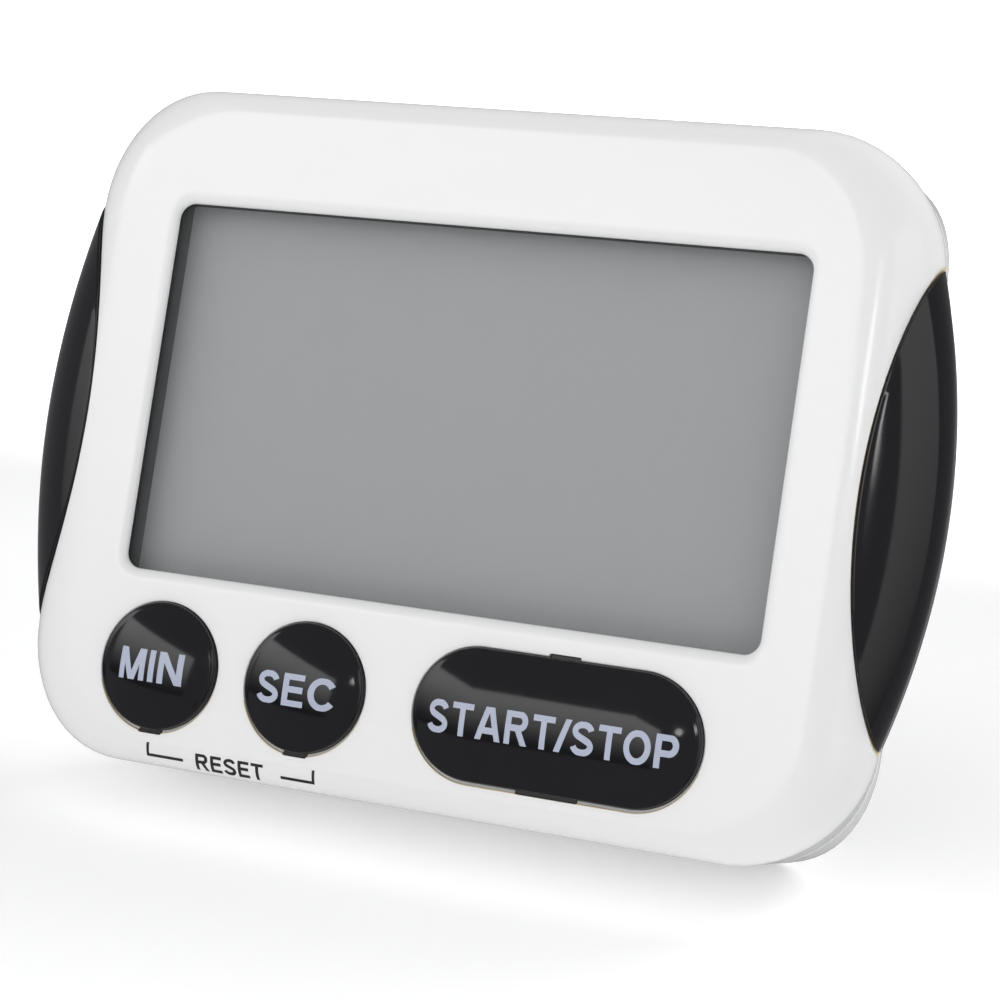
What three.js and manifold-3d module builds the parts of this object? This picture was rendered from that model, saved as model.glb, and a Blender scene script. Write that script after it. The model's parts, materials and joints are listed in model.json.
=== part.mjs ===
// A pocket-size countdown timer that leans back on a fold-out leg.
// Millimetres. The case frame has X across, Y from the front face to the back, Z up the case, and its
// origin at the middle of the front face. The whole case is then leaned back and set on the bench at Z = 0.
import * as THREE from "three";
import { mergeVertices } from "three/addons/utils/BufferGeometryUtils.js";
import Module from "manifold-3d";

const wasm = await Module();
wasm.setup();

// ---------- driving dimensions ----------

const LEAN = THREE.MathUtils.degToRad(22);
const GAP = 0.3;
const CLEAR = 5; // how far a cutting tool stands past what it cuts

const CASE = { halfX: 43.8, low: -34.1, high: 33.5, depth: 21, corner: 14, wall: 2 };
const ROLL = { frontX: 7, frontY: 5.5, rearX: 10, rearY: 10, rim: 2.2 };
const PARTING = 10;

const GRIP = {
  inner: 39.75,
  innerRadius: 65,
  outer: 47.2,
  outerRadius: 75,
  frontRun: 10.4,
  frontDeep: 5.5,
  rearRun: 13.4,
  sweep: 0.46,
};
const LUG = { z: 9, width: 6, front: 8.6, rear: 11.4, head: 8.4, headX: 35.6, stemX: 36.8, rootX: 41 };

const WINDOW = { halfX: 32.8, low: -15.1, high: 21.65, corner: 1.6 };
const LENS = { halfX: 34.4, low: -15.9, high: 22.6, front: 1.1, thick: 1 };
const LIP = 0.8;
const GLASS = { halfX: 34.6, high: 23.2, front: 3.6, thick: 1.1, frontLow: -16.8, rearLow: -15.4 };
const STRIP = { halfX: 31, low: -16.8, high: -15.75 };
const REFLECTOR = { halfX: 33.6, low: -15.2, high: 22.6, thick: 0.3 };
const FRAME = { halfX: 36.4, wall: 1.5, high: 25, low: -17, front: 2.3, rearTop: 6.6, rear: 8.7 };
const CROSSBAR = { front: 7, low: 4, high: 9, bottomLow: -15.3, bottomHigh: -13.9 };

const BUTTON = {
  radius: 6.27,
  proud: 0.9,
  dome: 1.9,
  back: 3.2,
  earRadius: 7.1,
  earHalfZ: 4.5,
  earFront: 2.3,
  stem: 2,
  stemBack: 5,
  clearance: 0.3,
};
const TAB = { width: 2.4, reach: 0.5, front: 0.6, slotDepth: 0.9 };
const KEYS = [
  { name: "minute", x: -26.94, z: -24.3, half: 0, topTab: 0, bottomTab: TAB.width },
  { name: "second", x: -11.05, z: -24.2, half: 0, topTab: 0, bottomTab: TAB.width },
  { name: "start_stop", x: 14.8, z: -24.15, half: 8, topTab: 3, bottomTab: 6 },
];
const PAD = { top: 5.3, baseRadius: 4.4, topRadius: 2.4, wall: 0.6, base: 0.9 };

const BOARD = { halfX: 33.2, low: -31, high: 9, corner: 3, front: 9, thick: 1.2 };
const BOARD_SCREWS = [
  { x: -19, z: -29.5, tip: 5 },
  { x: 31.2, z: -29.3, tip: 5 },
  { x: -30, z: 6.5, tip: 7.2 },
  { x: 30, z: 6.5, tip: 7.2 },
];
const BOARD_SCREW = { head: 1.6, headThick: 1, shank: 0.7, boss: 1.9, bore: 1, pilot: 3 };
const BLOB = { x: 1, z: -6, profile: [[0, 0], [7.5, 0], [7.2, 0.6], [5.6, 1.3], [3, 1.75], [0, 1.9]] };
const CRYSTAL = { start: 14, end: 20, z: -10, radius: 1 };
const CAPACITOR = { x: 23, z: 1, radius: 2.5, height: 4.6 };
const BOOST_COIL = { x: -14.5, z: -19, radius: 2.2, height: 3.6 };
const TRANSISTOR = { left: -21, right: -18, low: -14, high: -12.5, height: 1.1 };
const RESISTOR = { left: 14, right: 17, low: -3, high: -1.6, height: 0.6 };

const CASE_SCREWS = [
  { name: "upper_left", x: -35.2, z: 27.8 },
  { name: "upper_right", x: 35.2, z: 27.8 },
  { name: "lower_left", x: -36.2, z: -20 },
  { name: "lower_right", x: 36.2, z: -20 },
];
const CASE_SCREW = { head: 1.9, headFront: 17.6, headThick: 1.5, shank: 1, tip: 5 };
const BOSS = { front: 2.3, rear: 3.3, bore: 1.3, counterbore: 2.2, seat: 17.3, end: 4.4 };

const CELL = { radius: 5.25, length: 43.7, nub: 1.9, nubLength: 0.8, y: 13.6, z: 20, x: -0.4 };
const TRAY = { halfX: 25.6, low: 14.4, high: 25.6, floor: 8.05, wall: 1.2, rear: 17.4 };
const CONTACT = {
  x: 25.1,
  thick: 0.4,
  halfZ: 4.2,
  front: 8.7,
  rear: 17,
  tabY: 13,
  tabWidth: 3,
  tabEnd: 11.6,
  bump: 1.6,
};
const LEAD = { battery: 0.5, buzzer: 0.45, standoff: 0.7 };
const COIL = { large: 3.2, small: 2, wire: 0.35, turns: 3 };
const DOOR = { halfX: 25, low: 13.7, thick: 1.7, wrap: 16, travel: 7 };
const RAIL = { web: 0.8, lip: 1, front: 17.7, thick: 1, low: 15, high: 24 };

const LEG = { halfX: 12, thick: 2.4, open: THREE.MathUtils.degToRad(30), heel: 2.5, corner: 4 };
const PIVOT = { y: 19.6, z: 9, stub: 1.2, stubEnd: 13.4, socket: 1.5 };
const POCKET = { halfX: 12.4, low: -31.7, high: 12, floor: 17, wall: 1.6, fingerHalfX: 6, fingerFront: 18.4 };

const MAGNET = { x: 27, z: -24, radius: 6, thick: 2.1, sink: 0.2, cup: 7.6, cupFront: 16.9 };
const BUZZER = { x: -25.5, z: -2, radius: 10, plateFront: 17.6, plateThick: 0.4, discRadius: 7, collar: 1.5 };
const SOUND = { radius: 0.8, ring: 4, count: 6 };

const COLOURS = {
  white: { color: 0xf0f0ef, roughness: 0.18, metalness: 0 },
  black: { color: 0x0b0b0d, roughness: 0.12, metalness: 0 },
  grey: { color: 0x3a3b3d, roughness: 0.5, metalness: 0 },
  clear: { color: 0xe6ecec, roughness: 0.05, metalness: 0 },
  glass: { color: 0x9fa6a4, roughness: 0.1, metalness: 0 },
  foil: { color: 0xb4b8b5, roughness: 0.4, metalness: 0.6 },
  cream: { color: 0xe2d3b0, roughness: 0.6, metalness: 0 },
  board: { color: 0x1f5a34, roughness: 0.45, metalness: 0 },
  steel: { color: 0xb9bcc0, roughness: 0.3, metalness: 1 },
  brass: { color: 0xc9a24b, roughness: 0.35, metalness: 1 },
  ceramic: { color: 0xd8d6ce, roughness: 0.6, metalness: 0 },
  magnet: { color: 0x85888c, roughness: 0.35, metalness: 1 },
  red: { color: 0xa81f1b, roughness: 0.5, metalness: 0 },
  blue: { color: 0x2b4c7d, roughness: 0.4, metalness: 0 },
};

// ---------- solids ----------

// A closed three.js geometry as a solid that can be cut and joined.
function solid(geometry) {
  const bare = geometry.clone();
  bare.deleteAttribute("normal");
  bare.deleteAttribute("uv");
  const merged = mergeVertices(bare, 1e-4);
  const vertProperties = merged.attributes.position.array;
  const triVerts = new Uint32Array(merged.index.array);
  return new wasm.Manifold(new wasm.Mesh({ numProp: 3, vertProperties, triVerts }));
}

// A solid as a named mesh in the given finish.
function piece(name, shape, colour) {
  const mesh = shape.getMesh();
  const geometry = new THREE.BufferGeometry();
  geometry.setAttribute("position", new THREE.BufferAttribute(mesh.vertProperties, 3));
  geometry.setIndex(new THREE.BufferAttribute(mesh.triVerts, 1));
  geometry.computeVertexNormals();
  const made = new THREE.Mesh(geometry, new THREE.MeshStandardMaterial(COLOURS[colour]));
  made.name = name;
  return made;
}

function join(...solids) {
  return solids.reduce((all, next) => all.add(next));
}

function cut(body, ...tools) {
  return tools.reduce((left, tool) => left.subtract(tool), body);
}

function block(x0, x1, y0, y1, z0, z1) {
  const box = new THREE.BoxGeometry(x1 - x0, y1 - y0, z1 - z0);
  return solid(box.translate((x0 + x1) / 2, (y0 + y1) / 2, (z0 + z1) / 2));
}

// A round bar along Y from y0 to y1, with its own radius at each end.
function rod(x, z, radius, y0, y1, sides = 24, rearRadius = radius) {
  const bar = new THREE.CylinderGeometry(rearRadius, radius, y1 - y0, sides);
  return solid(bar.translate(x, (y0 + y1) / 2, z));
}

// A round bar along X.
function crossRod(y, z, radius, x0, x1, sides = 16) {
  const bar = new THREE.CylinderGeometry(radius, radius, x1 - x0, sides).rotateZ(Math.PI / 2);
  return solid(bar.translate((x0 + x1) / 2, y, z));
}

// A shape drawn in X and Z, given thickness along Y, with an optional rounded rim on both faces.
function plate(shape, y0, y1, rim = 0, curveSegments = 3) {
  const options = { depth: y1 - y0 - 2 * rim, bevelEnabled: rim > 0, curveSegments };
  if (rim > 0) {
    Object.assign(options, { bevelThickness: rim, bevelSize: rim, bevelOffset: -rim, bevelSegments: 3 });
  }
  const geometry = new THREE.ExtrudeGeometry(shape, options);
  return solid(geometry.rotateX(Math.PI / 2).translate(0, y1 - rim, 0));
}

function roundedRectangle(halfX, low, high, radius) {
  const shape = new THREE.Shape();
  shape.absarc(halfX - radius, low + radius, radius, -Math.PI / 2, 0);
  shape.absarc(halfX - radius, high - radius, radius, 0, Math.PI / 2);
  shape.absarc(radius - halfX, high - radius, radius, Math.PI / 2, Math.PI);
  shape.absarc(radius - halfX, low + radius, radius, Math.PI, 1.5 * Math.PI);
  return shape;
}

// Two half circles joined by straight sides: a circle when half is 0.
function stadium(x, z, half, radius) {
  const shape = new THREE.Shape();
  shape.absarc(x + half, z, radius, -Math.PI / 2, Math.PI / 2);
  shape.absarc(x - half, z, radius, Math.PI / 2, 1.5 * Math.PI);
  return shape;
}

// A ring of outline points swept along a smooth route.
function tube(points, radius, steps, sides = 8) {
  const section = new THREE.Shape();
  section.absarc(0, 0, radius, 0, 2 * Math.PI);
  const extrudePath = new THREE.CatmullRomCurve3(points.map((p) => new THREE.Vector3(...p)));
  const options = { steps, extrudePath, curveSegments: sides / 2 };
  return solid(new THREE.ExtrudeGeometry(section, options));
}

// ---------- case ----------

// The region outside the side edge curve, where the grip lies. It is cut square through the case.
function gripBay(side, inset) {
  const centre = GRIP.inner + GRIP.innerRadius;
  const radius = GRIP.innerRadius + inset;
  const [start, end] = side > 0 ? [Math.PI - GRIP.sweep, Math.PI + GRIP.sweep] : [-GRIP.sweep, GRIP.sweep];
  const shape = new THREE.Shape();
  const outside = centre - radius / 2;
  shape.absarc(side * centre, 0, radius, start, end);
  shape.lineTo(side * outside, -side * radius * Math.sin(GRIP.sweep));
  shape.lineTo(side * outside, side * radius * Math.sin(GRIP.sweep));
  return plate(shape, -CLEAR, CASE.depth + CLEAR, 0, 8);
}

// The case outline seen from above: rolled sides at the front and smaller ones at the back.
function planOutline(inset) {
  const x = CASE.halfX - inset;
  const front = [ROLL.frontX - inset, ROLL.frontY - inset];
  const rear = [ROLL.rearX - inset, ROLL.rearY - inset];
  const y0 = inset;
  const y1 = CASE.depth - inset;
  const shape = new THREE.Shape();
  shape.absellipse(x - front[0], y0 + front[1], ...front, -Math.PI / 2, 0);
  shape.absellipse(x - rear[0], y1 - rear[1], ...rear, 0, Math.PI / 2);
  shape.absellipse(rear[0] - x, y1 - rear[1], ...rear, Math.PI / 2, Math.PI);
  shape.absellipse(front[0] - x, y0 + front[1], ...front, Math.PI, 1.5 * Math.PI);
  return shape;
}

// The whole case as one solid, moved inwards by inset, with the two grip bays cut out.
function caseSolid(inset) {
  const { halfX, low, high, depth, corner } = CASE;
  const face = roundedRectangle(halfX - inset, low + inset, high - inset, corner - inset);
  const slab = plate(face, inset, depth - inset, inset ? 0.2 : ROLL.rim);
  const rolled = new THREE.ExtrudeGeometry(planOutline(inset), {
    depth: high - low + 2,
    bevelEnabled: false,
    curveSegments: 5,
  });
  const body = slab.intersect(solid(rolled.translate(0, 0, low - 1)));
  return cut(body, gripBay(1, inset), gripBay(-1, inset));
}

const SPAN = CASE.halfX + 10;
const PAST_BACK = CASE.depth + CLEAR;
const outer = caseSolid(0);
const cavity = caseSolid(CASE.wall);

// Slots through the side wall for the grips' lugs.
function lugSlots() {
  const half = LUG.width / 2 + GAP;
  const slots = [];
  for (const side of [-1, 1]) {
    for (const z of [-LUG.z, LUG.z]) {
      const x = side * LUG.rootX;
      const inside = side * LUG.stemX;
      const [x0, x1] = [Math.min(x, inside), Math.max(x, inside)];
      slots.push(block(x0 - 1, x1 + 1, LUG.front - GAP, LUG.rear + GAP, z - half, z + half));
    }
  }
  return slots;
}

function keyHole(key) {
  const { radius, clearance } = BUTTON;
  const hole = plate(stadium(key.x, key.z, key.half, radius + clearance), -1, CASE.wall + 1, 0, 7);
  const slots = tabBlocks(key, TAB.slotDepth, clearance, -1, CASE.wall + 1);
  return join(hole, ...slots);
}

function frontShell() {
  const half = block(-SPAN, SPAN, -1, PARTING, -SPAN, SPAN);
  const window = plate(
    roundedRectangle(WINDOW.halfX, WINDOW.low, WINDOW.high, WINDOW.corner),
    -1,
    CASE.wall + 1,
  );
  let shell = cut(outer.intersect(half), cavity);
  for (const { x, z } of CASE_SCREWS) {
    shell = shell.add(rod(x, z, BOSS.front, CASE.wall / 2, PARTING));
  }
  for (const { x, z } of BOARD_SCREWS.slice(0, 2)) {
    shell = shell.add(rod(x, z, BOARD_SCREW.boss, CASE.wall / 2, BOARD.front - GAP, 16));
  }
  const rebate = block(
    -LENS.halfX - GAP,
    LENS.halfX + GAP,
    LIP,
    CASE.wall + 1,
    LENS.low - GAP,
    LENS.high + GAP,
  );
  shell = cut(shell, window, rebate, ...KEYS.map(keyHole), ...lugSlots());
  for (const { x, z } of CASE_SCREWS) {
    shell = shell.subtract(rod(x, z, BOSS.bore, BOSS.end, PARTING + 1, 12));
  }
  for (const { x, z } of BOARD_SCREWS.slice(0, 2)) {
    shell = shell.subtract(rod(x, z, BOARD_SCREW.bore, BOARD_SCREW.pilot, PARTING, 12));
  }
  return piece("front_shell", shell, "white");
}

// The battery tray, the hollow for the leg, the magnet cups and the screw posts inside the back.
function rearFittings() {
  const { halfX, low, high, floor, wall, rear } = TRAY;
  const inside = CASE.depth - 1;
  const shelfX = DOOR.halfX - RAIL.web - GAP;
  const side = POCKET.halfX + POCKET.wall;
  const tray = block(-halfX - wall, halfX + wall, floor - wall, rear, low - wall, high + wall);
  const lip = block(-halfX, halfX, rear - 1, inside, low - wall, low);
  const shelf = block(-shelfX, shelfX, rear - GAP, inside, high, CASE.high - 1);
  const housing = block(
    -side,
    side,
    POCKET.floor - POCKET.wall,
    inside,
    CASE.low + 1,
    POCKET.high + POCKET.wall,
  );
  const cups = [-1, 1].map((s) =>
    rod(s * MAGNET.x, MAGNET.z, MAGNET.cup, MAGNET.cupFront, inside, 32),
  );
  const posts = CASE_SCREWS.map(({ x, z }) => rod(x, z, BOSS.rear, PARTING + GAP, inside, 20));
  const collar = cut(
    rod(BUZZER.x, BUZZER.z, BUZZER.radius + BUZZER.collar, MAGNET.cupFront, inside, 32),
    rod(BUZZER.x, BUZZER.z, BUZZER.radius + GAP, 0, CASE.depth, 32),
  );
  return join(tray, lip, shelf, housing, ...cups, ...posts, collar);
}

// The doorway in the back, the cell's space behind it and the channels that the door's rails run in.
function doorSpaces() {
  const { halfX, low, high, floor } = TRAY;
  const side = DOOR.halfX + GAP;
  const shelfX = DOOR.halfX - RAIL.web - GAP;
  const railX = DOOR.halfX + RAIL.lip + GAP;
  const doorway = block(
    -side,
    side,
    CASE.depth - DOOR.thick - GAP,
    PAST_BACK,
    DOOR.low - GAP,
    SPAN,
  );
  const wrap = block(-side, side, DOOR.wrap - GAP, PAST_BACK, CASE.high - DOOR.thick - GAP, SPAN);
  const cellSpace = block(-halfX, halfX, floor, PAST_BACK, low, high);
  const channels = block(
    -railX,
    railX,
    RAIL.front - GAP,
    RAIL.front + RAIL.thick + GAP,
    low - GAP,
    RAIL.high + DOOR.travel + GAP,
  );
  return [doorway, wrap, cellSpace, cut(channels, block(-shelfX, shelfX, 0, SPAN, high, SPAN))];
}

// The hollow that the leg folds into, the notch for a finger and the sockets of its pivot.
function legSpaces() {
  const { halfX, low, high, floor, wall, fingerHalfX, fingerFront } = POCKET;
  const socketSide = halfX + wall + 1;
  return [
    block(-halfX, halfX, floor, PAST_BACK, low, high),
    block(-fingerHalfX, fingerHalfX, fingerFront, PAST_BACK, -SPAN, low + 1),
    crossRod(PIVOT.y, PIVOT.z, PIVOT.socket, -socketSide, socketSide),
  ];
}

function rearShell() {
  const half = block(-SPAN, SPAN, PARTING + GAP, PAST_BACK, -SPAN, SPAN);
  const fittings = rearFittings();
  const trayPart = fittings.intersect(block(-SPAN, SPAN, 0, PARTING + 1, TRAY.low - 2, TRAY.high + 2));
  const backPart = join(cut(outer, cavity), fittings.intersect(outer)).intersect(half);
  const tabSlots = [-1, 1].map((s) => {
    const x = s * (CONTACT.x - CONTACT.thick / 2);
    const halfY = CONTACT.tabWidth / 2 + GAP;
    return block(
      x - CONTACT.thick / 2 - GAP,
      x + CONTACT.thick / 2 + GAP,
      CONTACT.tabY - halfY,
      CONTACT.tabY + halfY,
      TRAY.low - 2 * TRAY.wall,
      TRAY.low + 1,
    );
  });
  const magnetFloor = CASE.depth - MAGNET.thick - MAGNET.sink - GAP;
  const magnetPockets = [-1, 1].map((s) =>
    rod(s * MAGNET.x, MAGNET.z, MAGNET.radius + GAP, magnetFloor, PAST_BACK, 32),
  );
  let shell = cut(join(backPart, trayPart), ...doorSpaces(), ...legSpaces());
  shell = cut(shell, ...tabSlots, ...magnetPockets, ...lugSlots(), ...soundHoles());
  for (const { x, z } of CASE_SCREWS) {
    const bore = rod(x, z, BOSS.bore, PARTING, PAST_BACK, 12);
    const counterbore = rod(x, z, BOSS.counterbore, BOSS.seat, PAST_BACK, 16);
    shell = cut(shell, bore, counterbore);
  }
  return piece("rear_shell", shell, "white");
}

function soundHoles() {
  const hole = (x, z) => rod(x, z, SOUND.radius, CASE.depth - 3, PAST_BACK, 10);
  const holes = [hole(BUZZER.x, BUZZER.z)];
  for (let i = 0; i < SOUND.count; i += 1) {
    const turn = (2 * Math.PI * i) / SOUND.count;
    holes.push(hole(BUZZER.x + SOUND.ring * Math.cos(turn), BUZZER.z + SOUND.ring * Math.sin(turn)));
  }
  return holes;
}

// A side grip: the crescent between the case edge curve and a longer outer curve, round in section.
function grip(side) {
  const { outer: reach, outerRadius, frontRun, frontDeep, rearRun } = GRIP;
  const rearDeep = CASE.depth - frontDeep;
  const profile = [new THREE.Vector2(0, 0)];
  const steps = 8;
  for (let i = 0; i < steps; i += 1) {
    const turn = (Math.PI * i) / (2 * steps);
    const radius = outerRadius - frontRun * (1 - Math.sin(turn));
    profile.push(new THREE.Vector2(radius, frontDeep * (1 - Math.cos(turn))));
  }
  for (let i = steps; i >= 0; i -= 1) {
    const turn = (Math.PI * i) / (2 * steps);
    const radius = outerRadius - rearRun * (1 - Math.sin(turn));
    profile.push(new THREE.Vector2(radius, CASE.depth - rearDeep * (1 - Math.cos(turn))));
  }
  profile.push(new THREE.Vector2(0, CASE.depth));
  const wheel = new THREE.LatheGeometry(profile, 120).rotateY(Math.PI / 120);
  const round = solid(wheel.translate(side * (reach - outerRadius), 0, 0));
  const crescent = round.intersect(gripBay(side, -GAP));
  const [near, far] = [LUG.stemX, SPAN].map((x) => side * x).sort((a, b) => a - b);
  let shape = crescent.intersect(block(near, far, -CLEAR, PAST_BACK, -SPAN, SPAN));
  for (const z of [-LUG.z, LUG.z]) {
    const stem = [LUG.stemX - 0.2, LUG.rootX].map((x) => side * x).sort((a, b) => a - b);
    const head = [LUG.headX, LUG.stemX].map((x) => side * x).sort((a, b) => a - b);
    const half = LUG.width / 2;
    shape = join(
      shape,
      block(...stem, LUG.front, LUG.rear, z - half, z + half),
      block(...head, LUG.front + GAP, LUG.rear, z - LUG.head / 2, z + LUG.head / 2),
    );
  }
  return piece(side > 0 ? "right_grip" : "left_grip", shape, "black");
}

// ---------- display ----------

function displayPieces() {
  const frontGlass = GLASS.front;
  const rearGlass = frontGlass + GLASS.thick + GAP;
  const film = rearGlass + GLASS.thick + GAP;
  const sheet = (dims, y, thick, low) =>
    block(-dims.halfX, dims.halfX, y, y + thick, low, dims.high);
  const strip = block(-STRIP.halfX, STRIP.halfX, rearGlass, BOARD.front - GAP, STRIP.low, STRIP.high);
  return [
    piece("window_lens", sheet(LENS, LENS.front, LENS.thick, LENS.low), "clear"),
    piece("lcd_front_glass", sheet(GLASS, frontGlass, GLASS.thick, GLASS.frontLow), "glass"),
    piece("lcd_rear_glass", sheet(GLASS, rearGlass, GLASS.thick, GLASS.rearLow), "glass"),
    piece("lcd_reflector", sheet(REFLECTOR, film, REFLECTOR.thick, REFLECTOR.low), "foil"),
    piece("contact_strip", strip, "black"),
    displayFrame(),
  ];
}

// The frame that holds the display: a three-sided rim with two bars behind the glass.
function displayFrame() {
  const { halfX, wall, high, low, front, rearTop, rear } = FRAME;
  const inner = halfX - wall;
  const rim = cut(
    block(-halfX, halfX, front, rearTop, low, high),
    block(-inner, inner, front - 1, rearTop + 1, low - 1, high - wall),
  );
  const cheeks = [-1, 1].map((s) => {
    const [x0, x1] = s > 0 ? [inner, halfX] : [-halfX, -inner];
    return block(x0, x1, front, rear, low, CROSSBAR.high);
  });
  const bars = [
    block(-halfX, halfX, CROSSBAR.front, rear, CROSSBAR.low, CROSSBAR.high),
    block(-halfX, halfX, CROSSBAR.front, rear, CROSSBAR.bottomLow, CROSSBAR.bottomHigh),
  ];
  let frame = join(rim, ...cheeks, ...bars);
  for (const { x, z } of BOARD_SCREWS.slice(2)) {
    frame = frame.subtract(rod(x, z, BOARD_SCREW.bore, rearTop, rear + 1, 12));
  }
  return piece("lcd_frame", frame, "grey");
}

// ---------- keys ----------

// The small guide tabs at the top and bottom of a key, or the slots that they run in.
function tabBlocks(key, reach, spare, y0, y1) {
  const tabs = [];
  const { radius } = BUTTON;
  if (key.bottomTab) {
    const half = key.bottomTab / 2 + spare;
    tabs.push(block(key.x - half, key.x + half, y0, y1, key.z - radius - reach, key.z - radius + 1));
  }
  if (key.topTab) {
    const half = key.topTab / 2 + spare;
    tabs.push(block(key.x - half, key.x + half, y0, y1, key.z + radius - 1, key.z + radius + reach));
  }
  return tabs;
}

function button(key) {
  const { radius, proud, dome, back, earRadius, earHalfZ, earFront, stem, stemBack } = BUTTON;
  const cap = plate(stadium(key.x, key.z, key.half, radius), -proud, back, 0, 7);
  const crown = plate(stadium(key.x, key.z, key.half, radius), -dome, back, dome - proud, 7);
  const wide = plate(stadium(key.x, key.z, key.half, earRadius), earFront, back, 0, 7);
  const ears = wide.intersect(
    block(-SPAN, SPAN, 0, PARTING, key.z - earHalfZ, key.z + earHalfZ),
  );
  const tabs = tabBlocks(key, TAB.reach, 0, TAB.front, back);
  const post = rod(key.x, key.z, stem, back - 1, stemBack, 16);
  return piece(`${key.name}_button`, join(cap, crown, ears, ...tabs, post), "black");
}

// A silicone key dome, open at the board side.
function keyPad(key) {
  const { top, baseRadius, topRadius, wall, base } = PAD;
  const back = BOARD.front - GAP;
  const profile = [
    [0, top],
    [topRadius, top],
    [baseRadius - wall, back - base],
    [baseRadius + wall, back - base],
    [baseRadius + wall, back],
    [baseRadius - 2 * wall, back],
    [topRadius - wall, top + 2 * wall],
    [0, top + 2 * wall],
  ].map(([r, y]) => new THREE.Vector2(r, y));
  const dome = new THREE.LatheGeometry(profile, 20);
  return piece(`${key.name}_key_pad`, solid(dome.translate(key.x, 0, key.z)), "cream");
}

// ---------- electronics ----------

function boardPieces() {
  const { halfX, low, high, corner, front, thick } = BOARD;
  const back = front + thick;
  const top = back + GAP;
  const drill = ({ x, z }) => rod(x, z, BOARD_SCREW.bore, front - 1, back + 1, 12);
  const outline = plate(roundedRectangle(halfX, low, high, corner), front, back);
  const board = cut(outline, ...BOARD_SCREWS.map(drill));
  const blob = new THREE.LatheGeometry(BLOB.profile.map(([r, y]) => new THREE.Vector2(r, y)), 24);
  const standing = ({ x, z, radius, height }) => rod(x, z, radius, top, top + height, 20);
  const chip = ({ left, right, low: z0, high: z1, height }) => block(left, right, top, top + height, z0, z1);
  const crystal = crossRod(top + CRYSTAL.radius, CRYSTAL.z, CRYSTAL.radius, CRYSTAL.start, CRYSTAL.end, 12);
  return [
    piece("circuit_board", board, "board"),
    piece("chip_blob", solid(blob.translate(BLOB.x, top, BLOB.z)), "black"),
    piece("crystal", crystal, "steel"),
    piece("capacitor", standing(CAPACITOR), "blue"),
    piece("buzzer_coil", standing(BOOST_COIL), "grey"),
    piece("driver_transistor", chip(TRANSISTOR), "black"),
    piece("chip_resistor", chip(RESISTOR), "black"),
  ];
}

function screw(name, x, z, head, headFront, headThick, shank, tip) {
  const bar = rod(x, z, shank, tip, headFront + headThick / 2, 12);
  return piece(name, bar.add(rod(x, z, head, headFront, headFront + headThick, 20)), "steel");
}

function screws() {
  const headFront = BOARD.front + BOARD.thick + GAP;
  const { head, headThick, shank } = BOARD_SCREW;
  const board = BOARD_SCREWS.map(({ x, z, tip }, i) =>
    screw(`board_screw_${i + 1}`, x, z, head, headFront, headThick, shank, tip),
  );
  const shell = CASE_SCREWS.map(({ name, x, z }) => {
    const s = CASE_SCREW;
    return screw(`case_screw_${name}`, x, z, s.head, s.headFront, s.headThick, s.shank, s.tip);
  });
  return [...board, ...shell];
}

function buzzerPieces() {
  const { x, z, radius, plateFront, plateThick, discRadius } = BUZZER;
  const discBack = plateFront - GAP;
  const discFront = discBack - plateThick;
  const top = BOARD.front + BOARD.thick + GAP + LEAD.standoff;
  const lead = (start, end) => {
    const route = [
      [start, discFront - 0.9, z],
      [start + 1, 14.6, z - 2],
      [end[0], 13, end[1] + 3],
      [end[0], top, end[1]],
    ];
    return tube(route, LEAD.buzzer, 14);
  };
  return [
    piece("buzzer_plate", rod(x, z, radius, plateFront, plateFront + plateThick, 36), "brass"),
    piece("buzzer_disc", rod(x, z, discRadius, discFront, discBack, 32), "ceramic"),
    piece("buzzer_wire_red", lead(x - 3, [-29, -10]), "red"),
    piece("buzzer_wire_black", lead(x + 4, [-23.5, -12]), "black"),
  ];
}

// ---------- battery ----------

function cell() {
  const { radius, length, nub, nubLength, y, z, x } = CELL;
  const end = x + (length + nubLength) / 2 - nubLength;
  const body = crossRod(y, z, radius, end - length, end, 28);
  return piece("battery_cell", body.add(crossRod(y, z, nub, end - 1, end + nubLength, 16)), "blue");
}

// A conical coil standing on its contact plate, wound towards the cell.
class ConeCoil extends THREE.Curve {
  constructor(x0, x1) {
    super();
    this.x0 = x0;
    this.x1 = x1;
  }

  getPoint(t) {
    const turn = 2 * Math.PI * COIL.turns * t;
    const radius = COIL.large + (COIL.small - COIL.large) * t;
    const x = this.x0 + (this.x1 - this.x0) * t;
    return new THREE.Vector3(x, CELL.y + radius * Math.cos(turn), CELL.z + radius * Math.sin(turn));
  }
}

function contacts() {
  const { x: outside, thick, halfZ, front, rear, tabY, tabWidth, tabEnd, bump } = CONTACT;
  const inner = outside - thick;
  const cellEnd = CELL.x + (CELL.length + CELL.nubLength) / 2;
  const cellStart = cellEnd - CELL.length - CELL.nubLength;
  const blade = (side) => {
    const [x0, x1] = [side * inner, side * outside].sort((a, b) => a - b);
    const leaf = block(x0, x1, front, rear, CELL.z - halfZ, CELL.z + halfZ);
    const tab = block(x0, x1, tabY - tabWidth / 2, tabY + tabWidth / 2, tabEnd, CELL.z);
    return leaf.add(tab);
  };
  const section = new THREE.Shape();
  section.absarc(0, 0, COIL.wire, 0, 2 * Math.PI);
  const extrudePath = new ConeCoil(-inner - 0.1, cellStart - COIL.wire - 0.2);
  const coil = solid(new THREE.ExtrudeGeometry(section, { steps: 36, extrudePath, curveSegments: 3 }));
  return [
    piece("spring_contact", blade(-1).add(coil), "steel"),
    piece("plate_contact", blade(1).add(crossRod(CELL.y, CELL.z, bump, cellEnd + GAP, inner + 0.1)), "steel"),
  ];
}

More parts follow.
